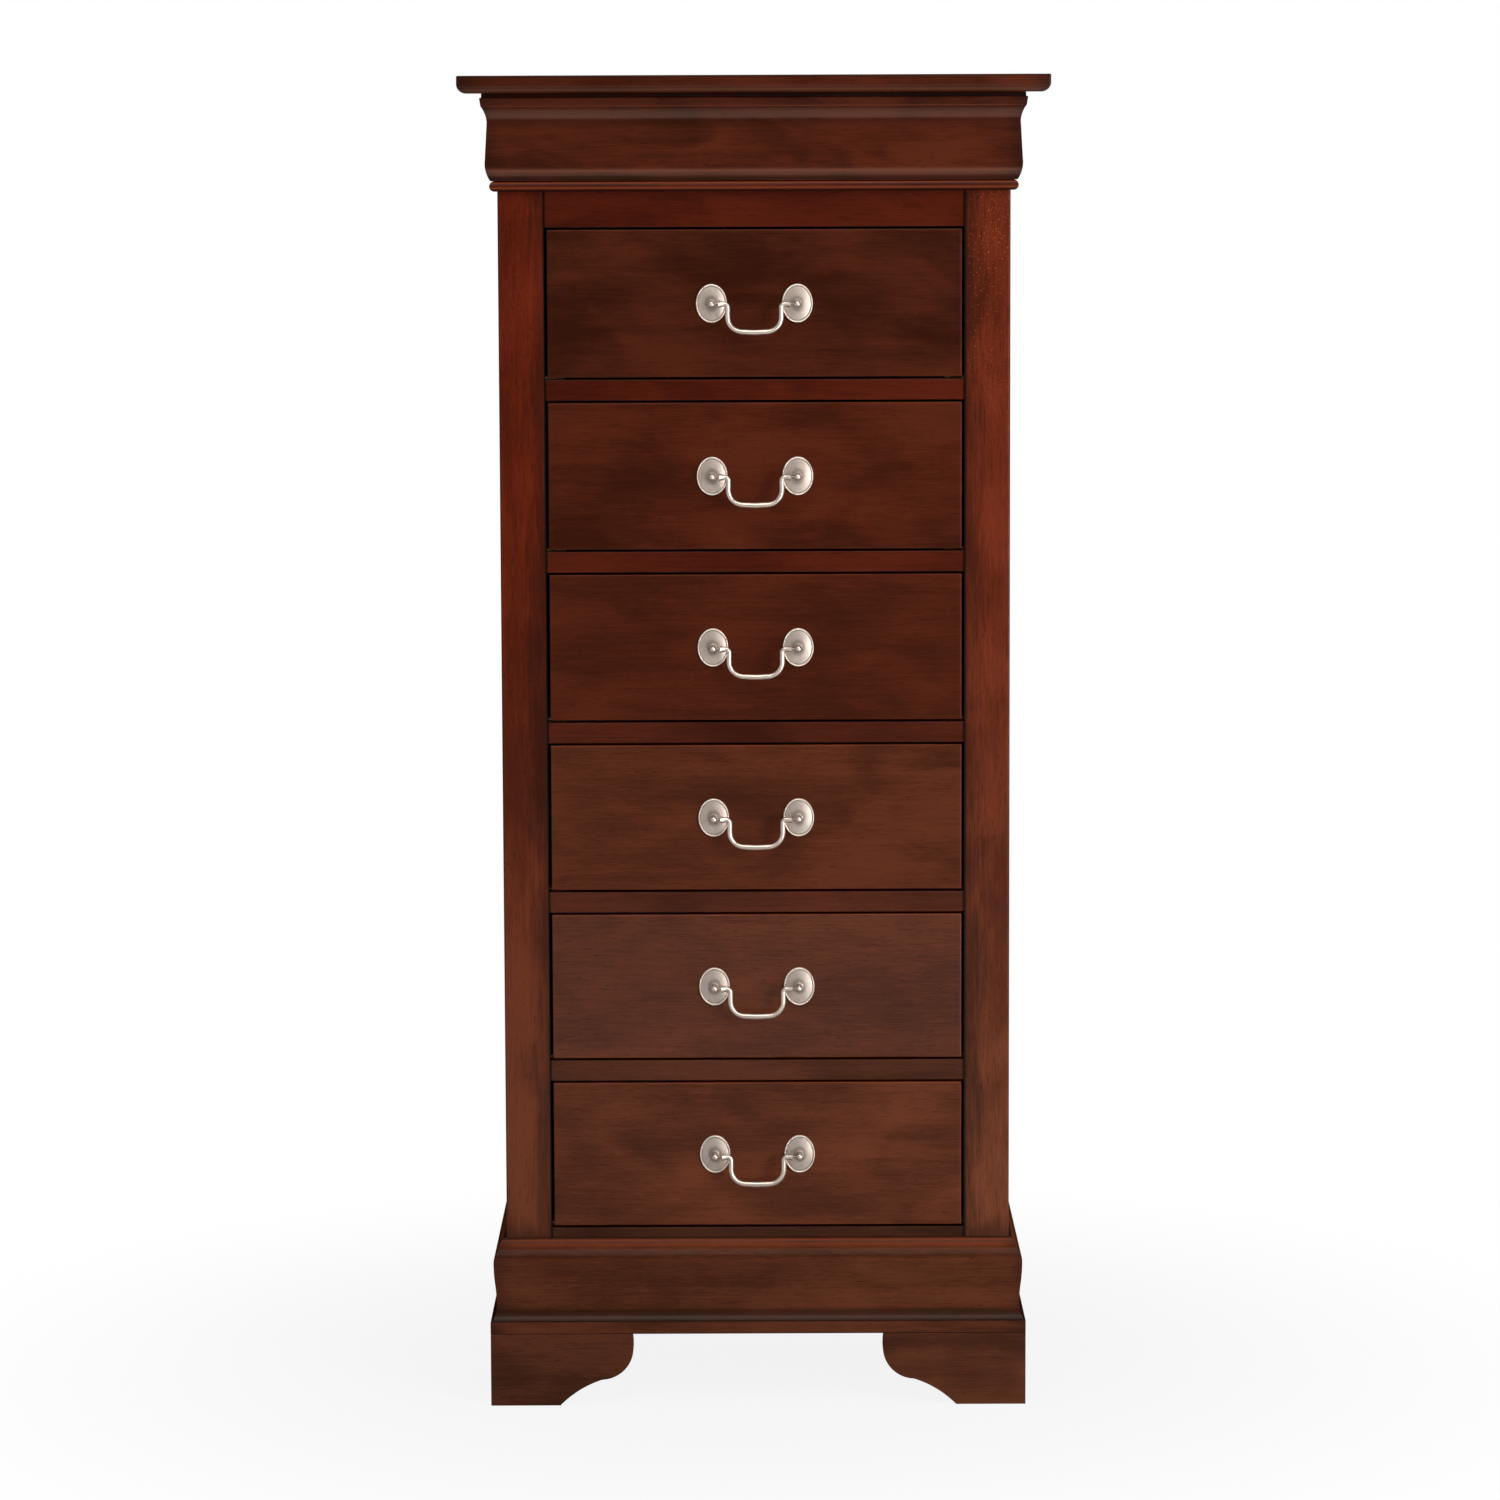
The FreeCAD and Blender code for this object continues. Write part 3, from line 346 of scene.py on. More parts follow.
def skin(name, shells, **values):
    """Mesh of closed tubes. Each shell is a grid of points, rows along the tube and columns round it, and its
    first and last rows are closed by a face unless they have shrunk to a point. Each of the values, such as
    recess or sheen, is a list with a grid of numbers for each shell and becomes an attribute of that name."""
    faces = []
    count = 0
    for grid in shells:
        rows, columns = grid.shape[:2]
        number = count + np.arange(rows * columns).reshape(rows, columns)
        beside = np.roll(number, -1, axis=1)
        quads = np.stack([number[:-1], beside[:-1], beside[1:], number[1:]], axis=-1)
        faces += quads.reshape(-1, 4).tolist()
        faces += [number[end].tolist() for end in (0, -1) if np.ptp(grid[end], axis=0).max() > SAME_PLACE]
        count += rows * columns
    mesh = bpy.data.meshes.new(name)
    mesh.from_pydata(np.vstack([grid.reshape(-1, 3) for grid in shells]), [], faces)
    for value, grids in values.items():
        numbers = np.concatenate([grid.ravel() for grid in grids])
        mesh.attributes.new(value, "FLOAT", "POINT").data.foreach_set("value", numbers)
    shaped = bmesh.new()
    shaped.from_mesh(mesh)
    bmesh.ops.remove_doubles(shaped, verts=shaped.verts, dist=SAME_PLACE)
    bmesh.ops.recalc_face_normals(shaped, faces=shaped.faces)
    shaped.to_mesh(mesh)
    shaped.free()
    mesh.shade_smooth()
    mesh.set_sharp_from_angle(angle=CREASE)
    piece = bpy.data.objects.new(name, mesh)
    bpy.context.scene.collection.objects.link(piece)
    return piece


def run(profile, foot, ends):
    """Profile carried along a wall, between two ends that each give a place on the case and the way outwards
    there, so that a slanting way makes a mitre."""
    out, up = profile.T * MM
    rows = [
        np.column_stack([x + across * out, y + forward * out, foot + up])
        for x, y, across, forward in ends
    ]
    return np.stack(rows)


LEFT_BACK = (-CASE_SIDE, CASE_BACK, -1, 0)
LEFT_CORNER = (-CASE_SIDE, CASE_FRONT, -1, -1)
RIGHT_CORNER = (CASE_SIDE, CASE_FRONT, 1, -1)
RIGHT_BACK = (CASE_SIDE, CASE_BACK, 1, 0)
RUNS = {
    "left": (Y, LEFT_BACK, LEFT_CORNER),
    "front": (X, LEFT_CORNER, RIGHT_CORNER),
    "right": (Y, RIGHT_CORNER, RIGHT_BACK),
}


def fit(piece, node, body):
    """Lets a piece stand for the solid of that name and move with its body."""
    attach(piece, body)
    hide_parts(node)


def up_the_profile(profile, heights):
    """Value at each point of a profile, for both ends of its run, from a list of heights with the value
    there."""
    value = np.interp(profile[:, 1], *np.transpose(heights))
    return np.stack([value, value])


def three_mouldings(label, shape, glaze_and_shading, sheen, start, tone, gloss, brown, figure, side_polish):
    """Moulding round three sides of the case. Its two lists, one of glazing with painted light and one of
    sheen, give heights up the profile with the value there: above zero, glazing and painted shade darken the
    moulding, and below zero, rub and painted highlight lighten it. The runs at the sides have a share,
    side_polish, of the gloss and sheen of the front."""
    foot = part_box(f"{label}_front")[0][Z]
    profile = soften(shape, step=0.4, reach=0.5)
    recess = up_the_profile(profile, glaze_and_shading)
    lacquer = up_the_profile(profile, sheen)
    for shift, (side, (axis, *ends)) in enumerate(RUNS.items()):
        node = f"{label}_{side}"
        polish = 1.0 if side == "front" else side_polish
        grid = run(profile, foot, ends)
        piece = skin(f"{node}_run", [grid], recess=[recess], sheen=[lacquer * polish])
        mitres = edges(node, axis)
        browns = (brown, brown)
        stain = cherry(node, axis, start + shift, tone, gloss * polish, browns, figure, ends=mitres)
        piece.data.materials.append(stain)
        fit(piece, node, "carcass")


CROWN_PROFILE = outline(
    [
        (0, 0), (6.2, 0), (11, 20.3), (9, 56.3), (14.5, 71.1), (15.8, 79.3), (13.9, 79.3), (13.9, 83.3),
        (0, 83.3),
    ],
    {1: 30, 3: -28},
)
# Glazing and painted light up the crown: above zero darkens as glazing and painted shade in the hollows and
# under the swell, below zero lightens the rounds as rub and painted highlight, and the arris under the fascia
# goes pale as wear with a painted highlight.
CROWN_GLAZE_AND_SHADING = [
    (0, -0.6), (0.7, 0.4), (1.4, 0.75), (2.4, 0.6), (4.3, 0.45), (5.2, 0.25), (6.2, -0.05), (8, -0.25),
    (9.3, -0.75), (10.4, -0.6), (11.4, -0.3), (12.8, -0.05), (14, 0.08), (15.6, 0), (42, 0), (45, 0.08),
    (48, 0.17), (53.6, 0.32), (56, 0.42), (58.3, 0.45), (59.3, 0.2), (60.5, 0), (66, 0), (67.5, 0.2),
    (69.5, 0.4), (70.6, 0), (71.1, -1.25), (71.7, 0), (72.8, -0.1), (78, 0), (79.3, 0.6), (80, 0.9),
    (83.3, 1),
]
CROWN_SHEEN = [
    (0, 0), (4.5, 0.1), (6, 0.5), (10, 0.5), (12, 0.1), (14, 0), (58.5, 0), (60.5, 0.5), (67.5, 0.5), (70, 0),
]
three_mouldings(
    "crown", CROWN_PROFILE, CROWN_GLAZE_AND_SHADING, CROWN_SHEEN,
    start=4.6, tone=0.93, gloss=0.10, brown=0.48, figure=2.2, side_polish=1.0,
)

half_round = outline([(0, 0), (2.3, 0), (7.3, 5), (2.3, 10), (0, 10)], {1: 5, 2: 5})
BEAD_PROFILE = soften(half_round, step=0.3, reach=0.3)
# Glazing and painted light round the bead: dark at its foot, middle and top as glazing and painted shade,
# lighter on its lower half as rub and painted highlight, and pale on its upper shoulder as wear with a painted
# highlight.
BEAD_GLAZE_AND_SHADING = [
    (0, 0.8), (1, 0.7), (1.8, 0.2), (2.6, -0.75), (3.8, -0.75), (4.8, -0.1), (5.6, 0.3), (6.8, 0.35),
    (7.4, -0.2), (8.1, -1.2), (8.8, -0.6), (9.4, 0.1), (10, 0.7),
]
bead_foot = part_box("bead_moulding")[0][Z]
bead_recess = up_the_profile(BEAD_PROFILE, BEAD_GLAZE_AND_SHADING)
bead_runs = [run(BEAD_PROFILE, bead_foot, ends) for _, *ends in RUNS.values()]
bead = skin("bead_run", bead_runs, recess=[bead_recess] * len(bead_runs))
bead.data.materials.append(cherry("bead", X, 2.1, tone=1.1, gloss=0.08, brown=(0.4, 0.4)))
fit(bead, "bead_moulding", "carcass")


# Base: a deep moulding round the foot of the case, mitred like the crown. From the top it has two rounds with
# a step between them, a slow S, a cove and a flat fillet that the feet carry on downwards.
BASE_PROFILE = outline(
    [
        (0, 0), (16, 0), (16, 12.5), (15, 12.5), (9.9, 26.5), (11.3, 48.5), (12.7, 70.5), (7.7, 82.7),
        (7.7, 84.5), (1.5, 93.3), (0, 93.3),
    ],
    {3: -20, 4: -170, 5: 170, 6: 17.5, 8: 9.4},
)
# Glazing and painted light up the base: above zero darkens as glazing and painted shade, most in the cove, and
# below zero lightens the two upper rounds as rub and painted highlight.
BASE_GLAZE_AND_SHADING = [
    (0, 1), (0.7, 0.9), (1.1, 0), (2, 0), (11, 0.05), (12, 0.5), (12.5, 1), (13.6, 0.8), (16, 0.7), (21, 0.7),
    (22.8, 0.55), (24.5, 0.3), (26.5, 0.1), (29, 0), (34.6, 0), (35.9, -0.25), (37.2, 0), (45, 0.07),
    (60, 0.15), (68, 0.05), (73.1, -0.12), (75, 0.3), (76.5, 0.45), (78.5, 0.3), (81, 0.15), (83, -0.4),
    (84.3, -0.2), (85.5, -0.35), (87, -0.55), (88.2, -0.5), (89.5, -0.1), (90.3, -0.3), (91.4, -0.75),
    (92.2, -0.2), (92.8, 0.5), (93.3, 0.8),
]
BASE_SHEEN = [(0, 0), (12.5, 0), (14, 0.03), (16, 0.2), (20, 0.2), (22, 0)]
three_mouldings(
    "base", BASE_PROFILE, BASE_GLAZE_AND_SHADING, BASE_SHEEN,
    start=12.3, tone=1.19, gloss=0.06, brown=0.95, figure=1.0, side_polish=0.0,
)


# Top: one wide board that overhangs the case at the front and sides, glued down on the crown. Its lower edge
# is a quarter round and its upper edge is eased; the back edge is square.
def board_rings(low, high, steps, rounding):
    """Rings round a board: at each step, which gives a setback and a height, a rectangle that keeps its back
    edge and draws the other three in by the setback, with its front corners cut to small quarter circles."""
    corner = np.linspace(0, np.pi / 2, 7)
    rings = []
    for setback, height in steps:
        side = high[X] - setback
        front = low[Y] + setback
        across = side - rounding + rounding * np.sin(corner)
        right = np.column_stack([across, front + rounding - rounding * np.cos(corner)])
        left = right[::-1] * (-1, 1)
        back = np.array([[side, high[Y]], [-side, high[Y]]])
        ring = np.vstack([right, back, left])
        rings.append(np.column_stack([ring, np.full(len(ring), height)]))
    return np.stack(rings)


LOWER_ROUND = 9 * MM
UPPER_ROUND = 1.5 * MM
low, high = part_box("top_panel")
quarter = np.linspace(0, np.pi / 2, 14)
lower = np.column_stack([LOWER_ROUND * (1 - np.sin(quarter)), low[Z] + LOWER_ROUND * (1 - np.cos(quarter))])
upper = np.column_stack([UPPER_ROUND * (1 - np.cos(quarter)), high[Z] - UPPER_ROUND * (1 - np.sin(quarter))])
face = [(0, low[Z] + 10 * MM), (0, high[Z] - 3 * MM)]
surface = [(4 * MM, high[Z])]
rings = board_rings(low, high, np.vstack([lower, face, upper, surface]), rounding=2 * MM)
# Painted light on the top's edges: the upper round is darkened, the middle of the lower round is lighter as
# rub and painted highlight and gets more lacquer, and its band next to the face is darkened as painted shade.
eased = slice(-1 - len(upper), -1)
rubbed_and_lit = slice(5, 9)
recess = np.zeros(rings.shape[:2])
recess[eased] = 0.5
recess[rubbed_and_lit] = -0.4
recess[10:13] = 0.2
sheen = np.zeros(rings.shape[:2])
sheen[rubbed_and_lit] = 0.75
sheen[9:12] = 0.15
top = skin("top_board", [rings], recess=[recess], sheen=[sheen])
stain = cherry("top", X, 14.2, tone=0.95, gloss=0.10, brown=(0.45, 0.45), ends=edges("top_panel", X))
top.data.materials.append(stain)
fit(top, "top_panel", "carcass")


# Feet: ogee brackets under the four corners, the front ones mitred, each with a square block glued into its
# corner. A plain sloping board closes the back of each rear foot.
FOOT_HEIGHT = 71.3
FOOT_THICKNESS = 20.0
FOOT_EASING = 0.7
BLOCK_WIDTH = 40.0
BLOCK_LIFT = 11.0
SCROLL = outline(
    [(0, 0), (68, 0), (109.3, 25.6), (139.8, 58.8), (138.6, FOOT_HEIGHT), (0, FOOT_HEIGHT)],
    {1: -100, 2: 31.6, 3: 59},
)
SLOPE = outline([(0, 0), (40, 0), (100, FOOT_HEIGHT), (0, FOOT_HEIGHT)], {})


def board(shape):
    """Board of the feet cut to an outline, with x along its face, y back through it and z up, in millimetres:
    rings of the outline, each moved in along its normals and back through the thickness so that both arrises
    are quarter rounds."""
    cut = soften(shape, step=0.8, reach=0.4)
    ahead = np.roll(cut, -1, axis=0) - np.roll(cut, 1, axis=0)
    inward = np.column_stack([-ahead[:, 1], ahead[:, 0]]) / np.linalg.norm(ahead, axis=1)[:, None]
    turn = np.linspace(0, np.pi / 2, 5)
    front = np.column_stack([FOOT_EASING * (1 - np.sin(turn)), FOOT_EASING * (1 - np.cos(turn))])
    back = np.column_stack([front[::-1, 0], FOOT_THICKNESS - front[::-1, 1]])
    rings = []
    for setback, depth in np.vstack([front, back]):
        along, up = (cut + inward * setback).T
        rings.append(np.column_stack([along, np.full(len(cut), depth), up]))
    return np.stack(rings)


def bracket(mitred):
    """Scrolled board; a mitre cuts its outer end where it would be nearer to the corner than it is deep."""
    along, back, up = np.moveaxis(board(SCROLL), -1, 0)
    if mitred:
        along = np.maximum(along, back)
    return np.stack([along, back, up], axis=-1)


def rear_board():
    """Sloping board that starts behind the thickness of the side bracket."""
    return board(SLOPE) + (FOOT_THICKNESS, 0, 0)


def block():
    """Square glue block as a tube with four corners."""
    near = FOOT_THICKNESS
    far = near + BLOCK_WIDTH
    square = np.array([[near, near], [far, near], [far, far], [near, far]])
    return np.stack([np.column_stack([square, np.full(4, height)]) for height in (BLOCK_LIFT, FOOT_HEIGHT)])


def foot(node, across, back, start, tone):
    """Foot at a corner of the case: its boards and block are made at the corner of the axes and mirrored into
    place."""
    low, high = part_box(node)
    corner = np.array([high[X] if across > 0 else low[X], high[Y] if back else low[Y], 0.0])
    face = rear_board() if back else bracket(mitred=True)
    side = bracket(mitred=not back)[..., [1, 0, 2]]
    flips = np.array([-across, -1 if back else 1, 1])
    piece = skin(f"{node}_brackets", [shell * MM * flips + corner for shell in (face, side, block())])
    for name, axis in (("face", X), ("side", Y)):
        stain = cherry(f"{node}_{name}", axis, start, tone, gloss=0.10, figure=1.5)
        piece.data.materials.append(stain)
    centres = np.array([polygon.center for polygon in piece.data.polygons])
    reach = np.abs(centres - corner)
    piece.data.polygons.foreach_set("material_index", (reach[:, X] < reach[:, Y]).astype(np.int32))
    fit(piece, node, "carcass")


for node, across, back, start, tone in (
    ("front_left_foot", -1, False, 2.6, 0.93),
    ("front_right_foot", 1, False, 9.1, 1.11),
    ("rear_left_foot", -1, True, 4.9, 1.0),
    ("rear_right_foot", 1, True, 6.7, 1.0),
):
    foot(node, across, back, start, tone)


# Drawer boxes: pale hardwood sides and back, keyed and housed together, with a thin sheet for a bottom that
# slides into grooves from behind.
DRAWERS = range(1, 7)
for drawer in DRAWERS:
    for part, name, axis, shift, colours, rough in (
        ("sides", "sides", Y, 1.3, HARDWOOD, 0.5),
        ("back", "drawer_back", X, 2.7, HARDWOOD, 0.5),
        ("bottom", "drawer_bottom", X, 3.1, SHEET, 0.6),
    ):
        wood = bare_wood(f"{name}_{drawer}", axis, drawer * shift, colours, rough)
        dress(f"drawer_{drawer}_{part}", wood)


# Drawer fronts: thick boards set flush between the posts, grain across, stained and lacquered with the case.
# Their eased edges are lighter, partly by rub and partly as a painted highlight, and the left edge is darkened
# a little as painted shade beside the gap.
for drawer, start, tone, gloss, brown, figure in (
    (1, 4.7, 0.79, 0.08, 0.54, 1.6),
    (2, 10.6, 0.92, 0.07, 0.45, 1.25),
    (3, 17.3, 0.91, 0.07, 0.48, 0.85),
    (4, 21.2, 1.18, 0.08, 0.76, 1.0),
    (5, 24.8, 1.32, 0.18, 0.87, 0.75),
    (6, 28.2, 1.42, 0.09, 0.87, 1.1),
):
    node = f"drawer_{drawer}_front"
    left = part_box(node)[0][X]
    shaded = [(X, left, left + BEYOND)]
    rim = edges(node, X, Z)
    browns = (brown, brown)
    dress(node, cherry(node, X, start, tone, gloss, browns, figure, rim=rim, joints=shaded, reach=1.2))


# Pull mounts: satin nickel. An oval rosette with a roped rim and a domed field lies on the drawer front, and
# a turned post with a ball head goes through it and the front to a nut inside.
NICKEL = np.array([0.80, 0.680, 0.60])
TARNISH_AND_SHADE = np.array([0.34, 0.28, 0.24])
POLISHED = np.array([0.97, 0.87, 0.79])


def nickel(name, lay, tone, rough):
    """Satin plate: fine scratches stretched along lay and a soft cloud vary the polish, and the recess
    attribute of the piece darkens its hollows, with tarnish and with painted shade, and polishes what stands
    out."""
    material, shader, place = finish(f"nickel_{name}", Metallic=1.0)
    scratches = along_grain(place, lay, length=0.006, width=0.00018, detail=2.0)
    cloud = along_grain(place, lay, length=0.008, width=0.006, detail=2.0, start=3.0)
    recess = attribute(place, "recess")
    dull = recess + (cloud - 0.5) * 0.5
    colour = dull.fade(0.1, 1.0).blend(opaque(NICKEL * tone), opaque(TARNISH_AND_SHADE))
    colour = recess.fade(0.0, -1.0).blend(colour, opaque(POLISHED))
    roughness = rough + (scratches - 0.5) * 0.22 + dull.fade(0.0, 1.0, 0.0, 0.16)
    place.feed(shader.inputs["Base Color"], colour)
    place.feed(shader.inputs["Roughness"], roughness)
    relief = {"Strength": 0.12, "Distance": 0.06 * MM, "Height": scratches}
    place.feed(shader.inputs["Normal"], place.node("Bump", {}, relief))
    return material


def around(steps):
    """Angles of so many equal steps round a circle."""
    return np.arange(steps) * 2 * np.pi / steps


def turned(profile):
    """Surface of revolution round the second axis: each (radius, depth) of the profile becomes a circle, from
    the back of the piece to its front."""
    angle = around(steps=40)
    radius, depth = np.asarray(profile, float).T
    circle = np.stack([np.cos(angle), np.zeros(len(angle)), np.sin(angle)], axis=-1)
    return radius[:, None, None] * circle - depth[:, None, None] * np.array([0, 1, 0])


HALF_WIDTH, HALF_HEIGHT = 15.0, 18.75
ROPE_TURNS, ROPE_LEAN, ROPE_RISE = 46, 40, 0.16
RIM_MIDDLE, RIM_HALF, FIELD_EDGE, GROOVE, FIELD_END = 0.056, 0.058, 0.114, 0.12, 0.76
EDGE_RISE, RIM_RISE, GROOVE_RISE, DOME_RISE, DOME_HALF = 0.9, 1.5, 1.2, 1.5, 0.885


def rosette():
    """Oval plate. Over a share from the edge to the middle, a half-round rim rises and falls to a groove, and
    the field rises from there as a shallow dome. The rim's crest carries a rope: a wave that leans as it goes
    round. With the plate comes its recess: the rim is bright, and the groove, the middle and the valleys of
    the rope are dull, the darker middle round the post being painted shade."""
    share = np.concatenate([np.linspace(0, 0.14, 22), np.linspace(0.14, FIELD_END, 18)[1:]])
    angle = around(steps=6 * ROPE_TURNS)
    rim = np.sqrt(np.clip(1 - ((share - RIM_MIDDLE) / RIM_HALF) ** 2, 0, None))
    dome = GROOVE_RISE + DOME_RISE * (1 - ((1 - share) / DOME_HALF) ** 2)
    inside = np.where(share > RIM_MIDDLE, GROOVE_RISE, 0)
    height = np.where(share < FIELD_EDGE, np.maximum(EDGE_RISE + RIM_RISE * rim, inside), dome)
    wave = np.cos(ROPE_TURNS * angle + ROPE_LEAN * share[:, None])
    across = HALF_WIDTH * (1 - share)[:, None] * np.cos(angle)
    up = HALF_HEIGHT * (1 - share)[:, None] * np.sin(angle)
    depth = height[:, None] + ROPE_RISE * rim[:, None] ** 2 * wave
    plate = np.stack([across, -depth, up], axis=-1)
    wall = plate[:1] * (1, 0, 1)
    # Dull groove and field; the darker middle round the post is painted shade.
    dull = 0.8 * np.exp(-(((share - GROOVE) / 0.016) ** 2)) + 0.9 * np.exp(-(((share - 0.8) / 0.2) ** 2))
    dull += np.where(share > GROOVE, 0.40, 0)
    valley = 0.6 * (1 - wave) / 2 * rim[:, None]
    recess = np.clip(dull[:, None] + valley - rim[:, None], -1, 1)
    return np.concatenate([wall, plate]), np.concatenate([recess[:1], recess])


POST_PROFILE = [
    (0.0, -23.6), (1.6, -23.6), (2.0, -23.2), (2.0, 1.3), (4.1, 1.3), (4.5, 1.7), (4.5, 2.5), (4.1, 2.95),
    (3.3, 3.1), (2.7, 3.7), (2.35, 5.0), (2.2, 7.5), (2.25, 10.5), (2.6, 13.0), (2.95, 13.7), (2.95, 14.2),
    (2.55, 14.5),
]
STANDOFF = 17.0
PULL_SPACING = 82.5
NUT_HALF, NUT_ROUND = 3.46, 3.6


def ball(radius, neck):
    """Ball head from its neck to its tip, as (radius, depth) pairs on a circle whose middle stands off."""
    angle = np.linspace(np.arcsin(neck / radius), np.pi, 22)[1:]
    return np.column_stack([radius * np.sin(angle), STANDOFF - radius * np.cos(angle)])


def nut():
    """Six-sided nut behind the front: a tube whose radius follows a hexagon, its rear edge turned to a
    circle."""
    angle = around(steps=48)
    hexagon = NUT_HALF / np.cos((angle + np.pi / 6) % (np.pi / 3) - np.pi / 6)
    rows = [(np.minimum(hexagon, NUT_ROUND), -22.2), (hexagon, -21.6), (hexagon, -19.0)]
    rings = [
        np.stack([radius * np.cos(angle), np.full(len(angle), -depth), radius * np.sin(angle)], axis=-1)
        for radius, depth in rows
    ]
    return np.stack(rings)


plate, plate_recess = rosette()
post = turned(np.vstack([POST_PROFILE, ball(radius=3.5, neck=2.5)]))
# The post is dull up to the foot of its ball, as tarnish and as painted shade under the ball and bail.
tarnished_and_shaded = np.arange(len(post)) < len(POST_PROFILE) + 3
post_recess = np.where(tarnished_and_shaded, 0.8, 0.0)[:, None] * np.ones(post.shape[1])
fixing = nut()
fixing_recess = np.full(fixing.shape[:2], 0.4)
mount_finish = nickel("mounts", Z, tone=0.98, rough=0.38)
for drawer in DRAWERS:
    node = f"drawer_{drawer}_pull_mounts"
    low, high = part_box(node)
    axis_height = (low[Z] + high[Z]) / 2
    shells = []
    for side in (-1, 1):
        centre = np.array([side * PULL_SPACING / 2 * MM, CASE_FRONT, axis_height])
        shells += [shell * MM * (side, 1, 1) + centre for shell in (plate, post, fixing)]
    recesses = [plate_recess, post_recess, fixing_recess] * 2
    piece = skin(f"drawer_{drawer}_rosettes_and_posts", shells, recess=recesses)
    piece.data.materials.append(mount_finish)
    fit(piece, node, f"drawer_{drawer}")


# Bails: one bent and forged wire each, satin nickel, thicker at the grip and flared at both ends. A thin pin
# on each end turns in the ball of its post.
DROP, ELBOW, SHOULDER_BEND = 26.5, 14.0, 3.4
GRIP, SHOULDER, FLARE, TIP = 11.65, 29.05, 34.65, 45.85
WIRE, LIP, PIN = 2.4, 3.8, 1.2
LIP_ROUND, PIN_ROUND = 0.35, 0.6
SAG, SAG_REACH = 0.7, 10.0
SWELL, SWELL_REACH = 0.3, 13.0
HOLLOW = [2.6, 2.2, 1.8, 1.35]


def bail():
    """Circle carried along a centre line in the x-z plane. The line sags a little along the grip, goes round
    an elbow, up an arm, round a shoulder and level out along the pin's axis; the radius is a function of the
    way walked. One half is worked out and then mirrored. With the surface comes its recess, dull at the
    pins as tarnish and as painted shade where they sit in the balls."""
    bend = np.linspace(0, np.pi / 2, 22)
    lip_turn = np.linspace(0, np.pi / 2, 5)[1:]
    tip_turn = np.linspace(0, np.pi / 2, 6)[1:]
    level = np.column_stack([np.linspace(0, GRIP, 10)[:-1], np.full(9, -DROP)])
    lower = np.column_stack([GRIP + ELBOW * np.sin(bend), ELBOW - DROP - ELBOW * np.cos(bend)])
    rise = SHOULDER_BEND * np.sin(bend) - SHOULDER_BEND
    upper = np.column_stack([SHOULDER - SHOULDER_BEND * np.cos(bend), rise])
    flaring = np.linspace(SHOULDER, FLARE - LIP_ROUND, 14)[1:]
    lip = FLARE - LIP_ROUND * (1 - np.sin(lip_turn))
    hollow = np.full(len(HOLLOW), FLARE)
    pin = np.linspace(FLARE - PIN_ROUND, TIP - PIN_ROUND, 6)
    tip = TIP - PIN_ROUND + PIN_ROUND * np.sin(tip_turn)
    level_end = np.concatenate([flaring, lip, hollow, pin, tip])
    line = np.vstack([level, lower, upper, np.column_stack([level_end, np.zeros(len(level_end))])])
    line[:, 1] -= SAG * np.exp(-((line[:, 0] / SAG_REACH) ** 2)) * (line[:, 1] < -1)
    swelling = WIRE + SWELL * np.exp(-((line[:, 0] / SWELL_REACH) ** 4)) * (line[:, 1] < -20)
    share = np.clip((line[:, 0] - SHOULDER) / (FLARE - SHOULDER), 0, 1)
    radius = np.where(line[:, 1] > -0.01, WIRE + (LIP - WIRE) * share**1.5, swelling)
    lip_at = len(level) + len(lower) + len(upper) + len(flaring)
    hollow_at = lip_at + len(lip)
    pin_at = hollow_at + len(hollow)
    radius[lip_at:hollow_at] = LIP - LIP_ROUND * (1 - np.cos(lip_turn))
    radius[hollow_at:pin_at] = HOLLOW
    radius[pin_at:] = PIN
    radius[-len(tip) :] = PIN * np.cos(tip_turn)
    recess = np.zeros(len(line))
    # The flare's hollow and the pin are dull, as tarnish and painted shade where they sit against the ball.
    recess[hollow_at:] = 0.9
    line = np.vstack([line[:0:-1] * (-1, 1), line])
    radius = np.concatenate([radius[:0:-1], radius])
    recess = np.concatenate([recess[:0:-1], recess])
    ahead = np.gradient(line, axis=0)
    ahead[np.abs(line[:, 1]) < 0.01] = (1, 0)
    ahead /= np.linalg.norm(ahead, axis=1)[:, None]
    angle = around(steps=28)
    level_depth = np.zeros(len(line))
    normal = np.column_stack([-ahead[:, 1], level_depth, ahead[:, 0]])
    centre = np.column_stack([line[:, 0], level_depth, line[:, 1]])
    forward = np.array([0, 1, 0]) * np.sin(angle)[None, :, None]
    ring = normal[:, None] * np.cos(angle)[None, :, None] + forward
    return centre[:, None] + radius[:, None, None] * ring, recess[:, None] * np.ones(len(angle))


bail_shell, bail_recess = bail()
bail_finish = nickel("bails", X, tone=1.08, rough=0.36)
for drawer in DRAWERS:
    node = f"drawer_{drawer}_bail"
    low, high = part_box(f"drawer_{drawer}_pull_mounts")
    axis = np.array([0, CASE_FRONT - STANDOFF * MM, (low[Z] + high[Z]) / 2])
    piece = skin(f"drawer_{drawer}_swan_neck", [bail_shell * MM + axis], recess=[bail_recess])
    piece.data.materials.append(bail_finish)
    fit(piece, node, f"bail_{drawer}")


